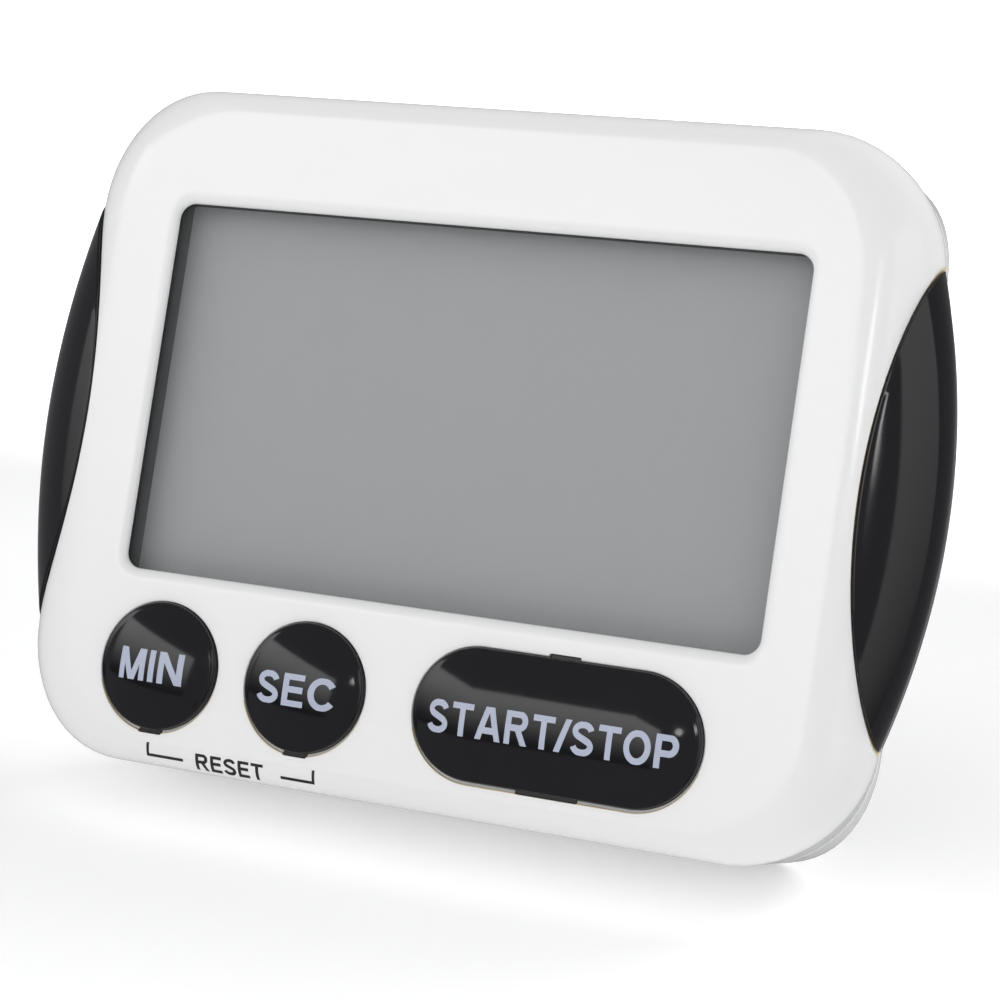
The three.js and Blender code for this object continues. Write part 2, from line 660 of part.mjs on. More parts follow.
function batteryWires() {
  const top = BOARD.front + BOARD.thick + GAP + LEAD.standoff;
  const x = CONTACT.x - CONTACT.thick / 2;
  const lead = (side) => {
    const route = [
      [side * x, CONTACT.tabY, CONTACT.tabEnd - 0.9],
      [side * (x + 0.6), 12.9, 10.4],
      [side * (x + 0.4), 12.2, 8.6],
      [side * x, top, 7.6],
    ];
    return tube(route, LEAD.battery, 10);
  };
  return [
    piece("battery_wire_black", lead(-1), "black"),
    piece("battery_wire_red", lead(1), "red"),
  ];
}

function batteryDoor() {
  const { halfX, low, thick, wrap } = DOOR;
  const skin = cut(outer, caseSolid(thick));
  const panel = skin.intersect(block(-halfX, halfX, wrap, SPAN, low, SPAN));
  const rails = [-1, 1].flatMap((s) => {
    const side = (a, b) => [s * a, s * b].sort((p, q) => p - q);
    const web = block(...side(halfX - RAIL.web, halfX), RAIL.front, CASE.depth - 1, RAIL.low, RAIL.high);
    const lip = block(
      ...side(halfX - RAIL.web, halfX + RAIL.lip),
      RAIL.front,
      RAIL.front + RAIL.thick,
      RAIL.low,
      RAIL.high,
    );
    return [web, lip];
  });
  return piece("battery_door", join(panel, ...rails), "white");
}

// ---------- back ----------

function magnets() {
  const back = CASE.depth - MAGNET.sink;
  return [-1, 1].map((s) => {
    const disc = rod(s * MAGNET.x, MAGNET.z, MAGNET.radius, back - MAGNET.thick, back, 32);
    return piece(s > 0 ? "right_magnet" : "left_magnet", disc, "magnet");
  });
}

// The leg, built folded flat with its pivot at the origin, as long as reaches the bench when open.
function legSolid(length) {
  const { halfX, thick, heel, corner } = LEG;
  const round = thick / 2;
  const outline = new THREE.Shape();
  outline.absarc(halfX - corner, corner - length, corner, -Math.PI / 2, 0);
  outline.lineTo(halfX, heel);
  outline.lineTo(-halfX, heel);
  outline.lineTo(-halfX, corner - length);
  outline.absarc(corner - halfX, corner - length, corner, Math.PI, 1.5 * Math.PI);
  const blade = plate(outline, -round, round);
  const stubs = crossRod(0, 0, PIVOT.stub, -PIVOT.stubEnd, PIVOT.stubEnd, 16);
  return blade.add(stubs);
}

// ---------- assembly ----------

const leaned = new THREE.Group();
leaned.rotation.x = -LEAN;
leaned.add(
  frontShell(),
  rearShell(),
  grip(-1),
  grip(1),
  ...displayPieces(),
  ...KEYS.map(button),
  ...KEYS.map(keyPad),
  ...boardPieces(),
  ...screws(),
  ...buzzerPieces(),
  cell(),
  ...contacts(),
  ...batteryWires(),
  batteryDoor(),
  ...magnets(),
);

// The case stands on its lower back edge, and the leg's foot comes down to the same level.
leaned.updateMatrixWorld(true);
const bench = new THREE.Box3().setFromObject(leaned, true).min.z;
const pivotHeight = PIVOT.z * Math.cos(LEAN) - PIVOT.y * Math.sin(LEAN);
const legDrop = pivotHeight - bench - (LEG.thick / 2) * Math.sin(LEG.open - LEAN);
const legLength = legDrop / Math.cos(LEG.open - LEAN);
const leg = piece("stand_leg", legSolid(legLength), "white");
leg.position.set(0, PIVOT.y, PIVOT.z);
leg.rotation.x = LEG.open;
leaned.add(leg);

const timer = new THREE.Group();
timer.add(leaned);
timer.updateMatrixWorld(true);
const extent = new THREE.Box3().setFromObject(timer, true);
leaned.position.set(0, -(extent.min.y + extent.max.y) / 2, -extent.min.z);

export default timer;
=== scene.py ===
import json
import math

import bmesh
import bpy
from bpy.props import FloatProperty, FloatVectorProperty, PointerProperty
from mathutils import Matrix, Vector


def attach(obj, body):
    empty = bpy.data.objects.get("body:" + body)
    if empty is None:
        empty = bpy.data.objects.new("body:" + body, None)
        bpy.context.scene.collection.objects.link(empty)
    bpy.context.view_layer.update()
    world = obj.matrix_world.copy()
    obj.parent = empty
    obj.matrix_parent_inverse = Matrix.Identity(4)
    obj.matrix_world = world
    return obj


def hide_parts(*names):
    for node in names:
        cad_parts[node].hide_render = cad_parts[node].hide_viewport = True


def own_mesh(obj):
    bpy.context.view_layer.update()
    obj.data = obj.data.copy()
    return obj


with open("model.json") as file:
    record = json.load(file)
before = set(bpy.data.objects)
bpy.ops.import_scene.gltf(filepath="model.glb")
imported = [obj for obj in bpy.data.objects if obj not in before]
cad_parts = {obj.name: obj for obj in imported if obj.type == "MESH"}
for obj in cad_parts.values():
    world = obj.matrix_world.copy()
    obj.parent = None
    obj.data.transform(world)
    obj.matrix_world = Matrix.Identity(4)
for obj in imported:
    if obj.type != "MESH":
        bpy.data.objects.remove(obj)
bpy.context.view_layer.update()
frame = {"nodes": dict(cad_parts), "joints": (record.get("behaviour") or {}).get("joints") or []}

bl_info = {
    "name": "Lab Timer Maker",
    "version": (1, 0, 0),
    "blender": (4, 5, 0),
    "location": "View3D > Sidebar > Lab Timer",
    "description": "Builds the looks of a leaning lab timer around its packed solids",
    "category": "Add Mesh",
}

MM = 0.001


# ---------- the timer's own axes ----------


def joint(name):
    return next(j for j in frame["joints"] if j["name"] == name)


ACROSS = Vector((1, 0, 0))
INWARD = Vector(joint("minute_press")["axis"])
UPWARD = Vector(joint("door_slide")["axis"])


def spread(node, axis):
    """Lowest and highest reach of a node along an axis, in metres."""
    reach = [v.co.dot(axis) for v in frame["nodes"][node].data.vertices]
    return min(reach), max(reach)


def turned(across, inward, upward, origin):
    """The matrix from millimetres along three axes to metres in the frame."""
    turn = Matrix((across, inward, upward)).transposed().to_4x4()
    return Matrix.Translation(origin) @ turn @ Matrix.Scale(MM, 4)


# Heights on the case are measured from a level this far above its lower edge.
LOW_Z = -34.1
FACE = spread("front_shell", INWARD)[0]
LEVEL = spread("front_shell", UPWARD)[0] - LOW_Z * MM
CASE = turned(ACROSS, INWARD, UPWARD, INWARD * FACE + UPWARD * LEVEL)


class Reach:
    """A node's box in millimetres along the case's own axes: across, into the face, and up it."""

    def __init__(self, node):
        inverse = CASE.inverted()
        points = [inverse @ v.co for v in frame["nodes"][node].data.vertices]
        self.low = Vector([min(p[i] for p in points) for i in range(3)])
        self.high = Vector([max(p[i] for p in points) for i in range(3)])
        self.middle = (self.low + self.high) / 2
        self.size = self.high - self.low


BACK_Y = Reach("rear_shell").high.y
HIGH_Z = Reach("front_shell").high.z
PARTING = Reach("front_shell").high.y
GRIP_TIP_X = Reach("right_grip").high.x
LENS = Reach("window_lens")
DOOR = Reach("battery_door")
CELL = Reach("battery_cell")
KEY_RADIUS = Reach("minute_button").high.z - Reach("minute_key_pad").middle.z
EAR_RADIUS = Reach("minute_button").size.x / 2


def length(name, description, millimetres, least=0.0, most=200.0):
    """A size in metres that a user may change."""
    return FloatProperty(
        name=name,
        description=description,
        default=millimetres * MM,
        min=least * MM,
        max=most * MM,
        precision=5,
        subtype="DISTANCE",
        unit="LENGTH",
    )


def share(name, description, default, most=1.0):
    return FloatProperty(name=name, description=description, default=default, min=0, max=most)


def power(name, description, watts):
    return FloatProperty(name=name, description=description, default=watts, min=0, unit="POWER")


def paint(name, description, *rgb):
    return FloatVectorProperty(
        name=name, description=description, subtype="COLOR", size=3, min=0, max=1, default=rgb
    )


# ---------- sizes and colours ----------


class CaseSizes(bpy.types.PropertyGroup):
    half_width: length("Half Width", "Middle of the face to the side wall", 43.8)
    corner: length("Corner", "Radius of the case's corners seen from the front", 12.6)
    side_roll: length("Side Roll Width", "How far in from the side the face starts to roll", 7)
    side_depth: length("Side Roll Depth", "How deep the roll at the sides goes", 5.5)
    end_roll: length("End Roll Width", "How far in from top and bottom the face starts to roll", 2.5)
    end_depth: length("End Roll Depth", "How deep the roll at top and bottom goes", 2.5)
    back_roll: length("Back Roll", "Roll around the back's side edges", 10)
    back_end_roll: length("Back End Roll", "Roll around the back's top and bottom edges", 2.2)
    draft: length("Draft", "How far the side walls lean in towards the seam", 1.1)
    waist_corner: length("Seam Corner", "Radius of the corners at the seam", 11.5)
    fullness: share("Back Fullness", "Shape of the back roll: 2 is round, less is flatter", 1.5, 4.0)
    wall: length("Wall", "Thickness of the shells", 2)
    bay_radius: length("Grip Edge Radius", "Radius of the curved edge between shell and grip", 65)
    bay_x: length("Grip Edge Middle", "Middle of the face to that edge at mid height", 39.75)
    seam: length("Seam", "Chamfer at the line where the shells meet", 0.14)


class WindowSizes(bpy.types.PropertyGroup):
    half_width: length("Half Width", "Half the width of the opening", 32.8)
    low: length("Lower Edge", "Middle of the face down to the opening's lower edge", 15.1)
    high: length("Upper Edge", "Middle of the face up to the opening's upper edge", 21.65)
    corner: length("Corner", "Radius of the opening's corners", 1.6)
    lip: length("Lip Width", "Width of the rolled lip", 1.25)
    lip_depth: length("Lip Depth", "Depth of the rolled lip", 0.75)


class GripSizes(bpy.types.PropertyGroup):
    outer_radius: length("Outer Radius", "Radius of the grip's outer edge", 75)
    trim: length("Trim", "How much the grip is slimmed at its middle", 0.2)
    extra: share("Extra Fullness", "How much rounder the grip's back is than the case's", 0.25)
    gap: length("Gap", "Fine gap between grip and shell", 0.14)
    edge: length("Edge", "Rounding of the grip's edge along the shell", 0.25)


class KeySizes(bpy.types.PropertyGroup):
    radius: length("Radius", "Radius of the round keys", KEY_RADIUS)
    proud: length("Rim Height", "How far the key's rim stands out of the face", 0.4)
    crown: length("Crown", "How far the crown rises above the rim", 1.4)
    edge: length("Edge", "Rounding of the rim", 0.45)
    clearance: length("Clearance", "Gap between key and face", 0.17)
    sag: length("Sag", "How far the holes sit below the keys' middles", 0.1)
    print_height: length("Letter Height", "Height of the letters on the keys", 3.1)


class StandSizes(bpy.types.PropertyGroup):
    edge: length("Leg Edge", "Rounding of the leg's edges", 0.5)
    rib: length("Rib Height", "Depth of the hollow between the leg's ribs", 0.8)
    groove: length("Door Groove", "Depth of the grooves on the battery door", 0.45)


class Colours(bpy.types.PropertyGroup):
    white: paint("Shell White", "Glossy white of both shells", 0.885, 0.885, 0.882)
    cream: paint("Raw Plastic", "Unpainted plastic at the cut edges", 0.72, 0.62, 0.42)
    black: paint("Gloss Black", "Grips and keys", 0.0075, 0.0075, 0.009)
    print: paint("Key Print", "Letters on the keys", 0.46, 0.50, 0.62)
    display: paint("Display Grey", "Liquid crystal with nothing shown on it", 0.333, 0.343, 0.35)
    bezel: paint("Display Frame", "Frame behind the window", 0.06, 0.058, 0.062)


class Lighting(bpy.types.PropertyGroup):
    front: share("Front Panel", "Glow of the front panel's bright edge", 2.2, 20.0)
    side: share("Side Panel", "Glow of the panel that draws a strip on the grip", 1.2, 20.0)
    top: power("Top Panel", "Power of the overhead soft panel", 3.9)
    rear: power("Rear Panel", "Power of the panel behind", 5.5)
    lamp: power("Small Lamp", "Power of the small lamp", 0.12)
    surround: share("Surround", "Brightness of the studio walls", 0.26, 5.0)


# ---------- outlines: lists of (x, z, outward x, outward z) ----------


def arc(x, z, radius, start, end, steps):
    made = []
    for i in range(steps + 1):
        turn = start + (end - start) * i / steps
        out = (math.cos(turn), math.sin(turn))
        made.append((x + radius * out[0], z + radius * out[1], *out))
    return made


def rounded(half_x, low, high, radius, steps=10, middle=0.0):
    """A rectangle with rounded corners, set out round x = middle."""
    x = half_x - radius
    quarter = math.pi / 2
    return [
        *arc(middle + x, low + radius, radius, -quarter, 0, steps),
        *arc(middle + x, high - radius, radius, 0, quarter, steps),
        *arc(middle - x, high - radius, radius, quarter, 2 * quarter, steps),
        *arc(middle - x, low + radius, radius, 2 * quarter, 3 * quarter, steps),
    ]


def stadium(x, z, half, radius, steps=40):
    quarter = math.pi / 2
    return [
        *arc(x + half, z, radius, -quarter, quarter, steps),
        *arc(x - half, z, radius, quarter, 3 * quarter, steps),
    ]


def at_depth(outline, y):
    return [(x, y, z) for x, z, _, _ in outline]


# ---------- meshes ----------


def piece(name, verts, faces, finish=None):
    """A mesh object in millimetres with all its faces turned outwards."""
    mesh = bpy.data.meshes.new(name)
    mesh.from_pydata(verts, [], faces)
    tidy = bmesh.new()
    tidy.from_mesh(mesh)
    bmesh.ops.remove_doubles(tidy, verts=tidy.verts, dist=1e-5)
    bmesh.ops.recalc_face_normals(tidy, faces=tidy.faces)
    tidy.to_mesh(mesh)
    tidy.free()
    made = bpy.data.objects.new(name, mesh)
    bpy.context.scene.collection.objects.link(made)
    if finish:
        mesh.materials.append(finish)
    return made


def loft(name, loops, finish=None, closed=False):
    """A skin through loops of equal count, capped at both ends or closed on itself."""
    count = len(loops[0])
    verts = [point for loop in loops for point in loop]
    faces = []
    for a in range(len(loops) if closed else len(loops) - 1):
        b = (a + 1) % len(loops)
        for i in range(count):
            j = (i + 1) % count
            faces.append((a * count + i, a * count + j, b * count + j, b * count + i))
    if not closed:
        faces.append(tuple(reversed(range(count))))
        faces.append(tuple(range((len(loops) - 1) * count, len(loops) * count)))
    return piece(name, verts, faces, finish)


ROUNDING = [math.radians(turn) for turn in (0, 30, 60, 90)]


def prism(name, outline, y0, y1, finish=None, edge=0.0):
    """An outline given depth, with a small rounded edge at both ends."""
    if not edge:
        return loft(name, [at_depth(outline, y0), at_depth(outline, y1)], finish)
    ends = [(y0, 1, turn) for turn in ROUNDING] + [(y1, -1, turn) for turn in reversed(ROUNDING)]
    loops = []
    for y, way, turn in ends:
        inset = edge * (1 - math.sin(turn))
        depth = y + way * edge * (1 - math.cos(turn))
        loops.append([(x - nx * inset, depth, z - nz * inset) for x, z, nx, nz in outline])
    return loft(name, loops, finish)


def slab(name, x0, x1, y0, y1, z0, z1, finish=None, corner=0.05):
    outline = rounded((x1 - x0) / 2, z0, z1, corner, 4, (x0 + x1) / 2)
    return prism(name, outline, y0, y1, finish)


def drum(name, x, z, radius, y0, y1, finish=None, edge=0.0, steps=24):
    return prism(name, stadium(x, z, 0, radius, steps), y0, y1, finish, edge)


def bar(name, y, z, radius, x0, x1, finish=None, edge=0.0):
    """A round bar along X."""
    profile = [(x0, radius), (x1, radius)]
    if edge:
        lost = [(edge * (1 - math.sin(turn)), radius - edge * (1 - math.cos(turn))) for turn in ROUNDING]
        profile = [(x0 + short, r) for short, r in reversed(lost)] + [(x1 - short, r) for short, r in lost]
    steps = 32
    ring = [2 * math.pi * i / steps for i in range(steps)]
    loops = []
    for x, r in profile:
        loops.append([(x, y + r * math.cos(t), z + r * math.sin(t)) for t in ring])
    return loft(name, loops, finish)


def combine(target, tool, operation):
    """Joins the tool to the target or cuts it away. Cut faces take the tool's finish."""
    step = target.modifiers.new(operation, "BOOLEAN")
    step.object = tool
    step.operation = operation
    step.solver = "EXACT"
    step.material_mode = "TRANSFER"
    bpy.context.view_layer.update()
    shaped = bpy.data.meshes.new_from_object(target.evaluated_get(bpy.context.evaluated_depsgraph_get()))
    if not shaped.polygons:
        raise RuntimeError(f"{tool.name} leaves nothing of {target.name}")
    target.modifiers.clear()
    target.data = shaped
    bpy.data.objects.remove(tool)
    return target


def cut(target, *tools):
    for tool in tools:
        combine(target, tool, "DIFFERENCE")
    return target


def join(target, *tools):
    for tool in tools:
        combine(target, tool, "UNION")
    return target


# Edges that turn by more than this many degrees stay sharp.
CREASE = 32


def settle(made, body, replaces=(), matrix=CASE):
    """Sets a finished piece in the frame, shades it, ties it to its body and hides the solids it replaces.
    """
    made.data.transform(matrix)
    tidy = bmesh.new()
    tidy.from_mesh(made.data)
    bmesh.ops.remove_doubles(tidy, verts=tidy.verts, dist=2e-7)
    bmesh.ops.dissolve_degenerate(tidy, edges=tidy.edges, dist=1e-7)
    bmesh.ops.recalc_face_normals(tidy, faces=tidy.faces)
    tidy.to_mesh(made.data)
    tidy.free()
    made.data.shade_smooth()
    made.data.set_sharp_from_angle(angle=math.radians(CREASE))
    weighting = made.modifiers.new("even shading", "WEIGHTED_NORMAL")
    weighting.keep_sharp = True
    weighting.mode = "FACE_AREA_WITH_ANGLE"
    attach(made, body)
    if replaces:
        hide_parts(*replaces)
    return made


def mm(size):
    return size / MM


# ---------- finishes ----------

made_finishes = {}


def finish(name, colour, roughness, variation=0.02, patch=9.0, grain=0.25, bump=0.004, scuff=0.04,
           metallic=0.0, coat=0.0, alpha=1.0, specular=0.5):
    """A finish with faint blotches, fine grain, and scuffs that dull the gloss. Sizes in millimetres."""
    if name in made_finishes:
        return made_finishes[name]
    made = bpy.data.materials.new(name)
    made.use_nodes = True
    nodes = made.node_tree.nodes
    links = made.node_tree.links
    shader = nodes["Principled BSDF"]
    shader.inputs["Metallic"].default_value = metallic
    shader.inputs["Coat Weight"].default_value = coat
    shader.inputs["Coat Roughness"].default_value = 0.05
    shader.inputs["Alpha"].default_value = alpha
    shader.inputs["Specular IOR Level"].default_value = specular
    place = nodes.new("ShaderNodeTexCoord")

    def noise(size, detail, distortion=0.0):
        made_noise = nodes.new("ShaderNodeTexNoise")
        made_noise.inputs["Scale"].default_value = 1 / (size * MM)
        made_noise.inputs["Detail"].default_value = detail
        made_noise.inputs["Distortion"].default_value = distortion
        links.new(place.outputs["Object"], made_noise.inputs["Vector"])
        return made_noise.outputs["Fac"]

    blotches = nodes.new("ShaderNodeMix")
    blotches.data_type = "RGBA"
    darker = [c * (1 - variation) for c in colour]
    lighter = [min(1, c * (1 + variation)) for c in colour]
    blotches.inputs["A"].default_value = (*darker, 1)
    blotches.inputs["B"].default_value = (*lighter, 1)
    links.new(noise(patch, 3), blotches.inputs["Factor"])
    links.new(blotches.outputs["Result"], shader.inputs["Base Color"])

    dulling = nodes.new("ShaderNodeMapRange")
    dulling.inputs["From Min"].default_value = 0.45
    dulling.inputs["From Max"].default_value = 0.8
    dulling.inputs["To Min"].default_value = roughness
    dulling.inputs["To Max"].default_value = min(1, roughness + scuff)
    links.new(noise(patch / 4, 6, 1.5), dulling.inputs["Value"])
    links.new(dulling.outputs["Result"], shader.inputs["Roughness"])

    relief = nodes.new("ShaderNodeBump")
    relief.inputs["Strength"].default_value = 0.6
    relief.inputs["Distance"].default_value = bump * MM
    links.new(noise(grain, 2), relief.inputs["Height"])
    links.new(relief.outputs["Normal"], shader.inputs["Normal"])
    made_finishes[name] = made
    return made


def gloss_white():
    return finish(
        "gloss_white",
        colours().white,
        0.16,
        variation=0.006,
        patch=25,
        grain=2.5,
        bump=0.003,
        scuff=0.03,
        coat=0.25,
    )


def raw_cream():
    return finish("raw_cream", colours().cream, 0.5, variation=0.05, patch=3)


def gloss_black():
    return finish(
        "gloss_black", colours().black, 0.09, variation=0.1, patch=12, grain=3, bump=0.0015, scuff=0.03
    )


# Painted shade: a near-black coat for the window's straight inner wall and the lens's rebate, where the
# recess lies in shade.
def painted_shade_black():
    return finish("painted_shade_black", (0.012, 0.012, 0.013), 0.55, variation=0.1, patch=2)


def bezel_grey():
    return finish("bezel_grey", colours().bezel, 0.5, variation=0.08, patch=3)


def window_clear():
    return finish(
        "window_clear", (0.72, 0.76, 0.76), 0.03, variation=0.01, grain=4, bump=0.001, scuff=0.02, alpha=0.04
    )


def crystal_glass():
    return finish(
        "crystal_glass", colours().display, 0.5, variation=0.2, patch=0.14, grain=0.12, bump=0.008
    )


def display_grey():
    return finish(
        "display_grey", colours().display, 0.55, variation=0.16, patch=0.16, grain=0.12, bump=0.012
    )


def key_print():
    return finish("key_print", colours().print, 0.4, variation=0.05, patch=1.5)


def black_print():
    return finish("black_print", (0.02, 0.02, 0.022), 0.45, variation=0.1, patch=1.5)


def cream_rubber():
    return finish("cream_rubber", (0.66, 0.56, 0.38), 0.6, variation=0.05, patch=2)


def board_green():
    return finish("board_green", (0.014, 0.105, 0.034), 0.35, variation=0.3, patch=1.6, bump=0.02, coat=0.3)


def steel():
    return finish("steel", (0.55, 0.56, 0.58), 0.25, variation=0.08, patch=1.2, scuff=0.2, metallic=1)


def nickel():
    return finish("nickel", (0.42, 0.425, 0.44), 0.28, variation=0.1, patch=1.8, scuff=0.22, metallic=1)


def brass():
    return finish("brass", (0.58, 0.38, 0.10), 0.32, variation=0.12, patch=2.5, scuff=0.2, metallic=1)


def ceramic():
    return finish("ceramic", (0.68, 0.66, 0.60), 0.55, variation=0.06, patch=1.5)


def red_insulation():
    return finish("red_insulation", (0.40, 0.012, 0.010), 0.4, variation=0.08, patch=1.5)


def dull_black():
    return finish("dull_black", (0.014, 0.014, 0.015), 0.45, variation=0.15, patch=2)


def blue_sleeve():
    return finish("blue_sleeve", (0.022, 0.075, 0.21), 0.25, variation=0.08, patch=4, coat=0.4)


def colours():
    return bpy.context.scene.timer_colours


# ---------- case ----------

CORNER_STEPS = 14
LEAST_ROLL = {"front": 0.3, "back": 0.2}
MOUTH_STEP = 0.1
# How much sharper the corners of a form's flat face are than those at its widest.
SHARPER = {"front": 3, "front hollow": 2, "back": 1}
# How far cutters run past the case: in front of and behind it, and beyond its sides.
PAST = 4
BEYOND = 60


def roll(part, fullness):
    """How much width is left and how far a rolled edge has dropped, part way round it."""
    turn = math.pi / 2 * part
    return 1 - math.sin(turn) ** (2 / fullness), 1 - max(0.0, math.cos(turn)) ** (2 / fullness)


def rolled_face(half_x, inset, corner, widths, depths, y, direction, sharper, fullness=2.0):
    """Loops from the flat of a face round its rolled edges. widths and depths are for side and end."""
    loops = []
    steps = 14
    for i in range(steps + 1):
        left, drop = roll(i / steps, fullness)
        x = half_x - widths[0] * left
        over = inset + widths[1] * left
        outline = rounded(x, LOW_Z + over, HIGH_Z - over, corner - sharper * left, CORNER_STEPS)
        loops.append([
            (px, y + direction * drop * (depths[0] * nx * nx + depths[1] * nz * nz), pz)
            for px, pz, nx, nz in outline
        ])
    return loops


def form(name, inset, mouth, side, coat):
    """One half of the case as a solid: side is -1 for the front and 1 for the back."""
    s = bpy.context.scene.timer_case
    half_x = mm(s.half_width) - inset
    corner = mm(s.corner) - inset
    waist = half_x - mm(s.draft)
    waist_corner = mm(s.waist_corner) - inset
    if side < 0:
        widths = (mm(s.side_roll) - inset, max(mm(s.end_roll) - inset, LEAST_ROLL["front"]))
        depths = (mm(s.side_depth) - inset, max(mm(s.end_depth) - inset, LEAST_ROLL["front"]))
        sharper = SHARPER["front hollow"] if inset else SHARPER["front"]
        loops = rolled_face(half_x, inset, corner, widths, depths, inset, 1, sharper)
    else:
        widths = (mm(s.back_roll) - inset, max(mm(s.back_end_roll) - inset, LEAST_ROLL["back"]))
        y = BACK_Y - inset
        loops = rolled_face(waist, inset, waist_corner, widths, widths, y, -1, SHARPER["back"], s.fullness)
    bevel = 0 if inset else mm(s.seam)
    outline = rounded(waist, LOW_Z + inset, HIGH_Z - inset, waist_corner, CORNER_STEPS)
    loops.append(at_depth(outline, mouth + side * max(bevel, MOUTH_STEP)))
    low, high = LOW_Z + inset + bevel, HIGH_Z - inset - bevel
    slim = rounded(waist - bevel, low, high, waist_corner - bevel, CORNER_STEPS)
    loops.append(at_depth(slim, mouth))
    return loft(name, loops, coat)


def bay_edge(z, gap=0.0):
    """Across position of the curved edge between shell and grip at a height."""
    s = bpy.context.scene.timer_case
    radius = mm(s.bay_radius) - gap
    return mm(s.bay_x) + mm(s.bay_radius) - math.sqrt(radius**2 - z**2)


def grip_bay(side):
    """What is cut from the case for a grip."""
    reach = 30.0
    steps = 32
    heights = [reach * i / steps for i in range(-steps, steps + 1)]
    edge = [(side * bay_edge(z), z, 0, 0) for z in heights]
    far = side * BEYOND
    outline = [*edge, (far, reach, 0, 0), (far, -reach, 0, 0)]
    return prism("grip_bay", outline, -PAST, BACK_Y + PAST, raw_cream())


def lipped_hole(name, outline, lip, lip_depth, deepest, coat):
    """A cutter that flares to the face: its lip is white and its straight wall has its own finish."""
    spare = 0.4
    steps = 8
    loops = [[(x + nx * (lip + spare), -spare, z + nz * (lip + spare)) for x, z, nx, nz in outline]]
    for i in range(steps + 1):
        turn = math.pi / 2 * i / steps
        flare = lip * (1 - math.sin(turn))
        y = lip_depth * (1 - math.cos(turn))
        loops.append([(x + nx * flare, y, z + nz * flare) for x, z, nx, nz in outline])
    loops.append(at_depth(outline, deepest))
    made = loft(name, loops, gloss_white())
    made.data.materials.append(coat)
    for face in made.data.polygons:
        if face.center.y > lip_depth and len(face.vertices) == 4:
            face.material_index = 1
    return made


def window_outline():
    w = bpy.context.scene.timer_window
    return rounded(mm(w.half_width), -mm(w.low), mm(w.high), mm(w.corner))


class Key:
    """Where a key stands on the face, and how wide its tabs are below and above."""

    def __init__(self, name, bottom_tab, top_tab=0.0):
        pad = Reach(f"{name}_key_pad").middle
        self.name = name
        self.x = pad.x
        self.z = pad.z
        self.half = max(0.0, Reach(f"{name}_button").size.x / 2 - EAR_RADIUS)
        self.tabs = [(-1, bottom_tab), (1, top_tab)] if top_tab else [(-1, bottom_tab)]


KEYS = [Key("minute", 2.4), Key("second", 2.4), Key("start_stop", 6.0, 3.0)]
TAB = {"reach": 0.3, "front": 0.35, "root": 1, "corner": 0.2}
SLOT_GAP = {"side": 0.1, "end": 0.08}
KEY_HOLE = {"lip": 0.12, "deep": 0.3, "ledge": 0.05, "through": 3}


def tab_blocks(key, y0, y1, spare, reach, coat):
    """The guide tabs of a key, or the slots that they run in."""
    made = []
    for side, width in key.tabs:
        ends = sorted((key.z + side * (KEY_RADIUS - TAB["root"]), key.z + side * (KEY_RADIUS + reach)))
        half = width / 2 + spare
        made.append(slab("tab", key.x - half, key.x + half, y0, y1, *ends, coat, TAB["corner"]))
    return made


def key_hole(key):
    """A key's hole: its lower edge shows the bare plastic, and a shallow ledge lies inside it."""
    s = bpy.context.scene.timer_keys
    low = key.z - mm(s.sag)
    outline = stadium(key.x, low, key.half, mm(s.radius) + mm(s.clearance))
    flare = lipped_hole("key_hole", outline, KEY_HOLE["lip"], KEY_HOLE["lip"], KEY_HOLE["deep"], raw_cream())
    for face in flare.data.polygons:
        if face.center.z < low - mm(s.radius) / 3:
            face.material_index = 1
    well = stadium(key.x, key.z, key.half, mm(s.radius) + KEY_HOLE["ledge"])
    return join(flare, prism("well", well, 0, KEY_HOLE["through"], raw_cream()))


# Radii of the screw posts and their bores, and the depth at which the front bores end.
POST = {"front": 2.3, "back": 3.3, "bore": 1.3, "blind": 4.4}
REBATE = {"gap": 0.3, "front": 0.8, "corner": 1}
WINDOW_DEEP = 4


def make_front_shell():
    s = bpy.context.scene.timer_case
    w = bpy.context.scene.timer_window
    shell = form("front_shell_visual", 0, PARTING, -1, gloss_white())
    cut(shell, form("hollow", mm(s.wall), PARTING + 2, -1, raw_cream()))
    for x, z in CASE_SCREWS:
        join(shell, drum("post", x, z, POST["front"], 1, PARTING, raw_cream()))
        cut(shell, drum("bore", x, z, POST["bore"], POST["blind"], PARTING + 1, raw_cream()))
    for side in (-1, 1):
        cut(shell, grip_bay(side))
    # The window's wall below its lip and the rebate behind it are coated near black: painted shade in the
    # recess.
    hole = lipped_hole("window", window_outline(), mm(w.lip), mm(w.lip_depth), WINDOW_DEEP, painted_shade_black())
    gap = REBATE["gap"]
    rebate = slab(
        "rebate",
        LENS.low.x - gap,
        LENS.high.x + gap,
        REBATE["front"],
        WINDOW_DEEP,
        LENS.low.z - gap,
        LENS.high.z + gap,
        painted_shade_black(),
        REBATE["corner"],
    )
    cut(shell, hole, rebate)
    reach, deep = TAB["reach"] + SLOT_GAP["end"], KEY_HOLE["through"]
    for key in KEYS:
        cut(shell, key_hole(key), *tab_blocks(key, -1, deep, SLOT_GAP["side"], reach, raw_cream()))
    return settle(shell, "case", ["front_shell"])


CASE_SCREWS = [
    (Reach(f"case_screw_{corner}").middle.x, Reach(f"case_screw_{corner}").middle.z)
    for corner in ("upper_left", "upper_right", "lower_left", "lower_right")
]
MAGNETS = [Reach(f"{side}_magnet") for side in ("left", "right")]
BUZZER = Reach("buzzer_plate")
LEG = joint("leg_fold")
PIVOT = CASE.inverted() @ Vector(LEG["pos_m"])
DOOR_HALF = 25.0
DOOR_GAP = 0.12
SHELL_GAP = 0.12

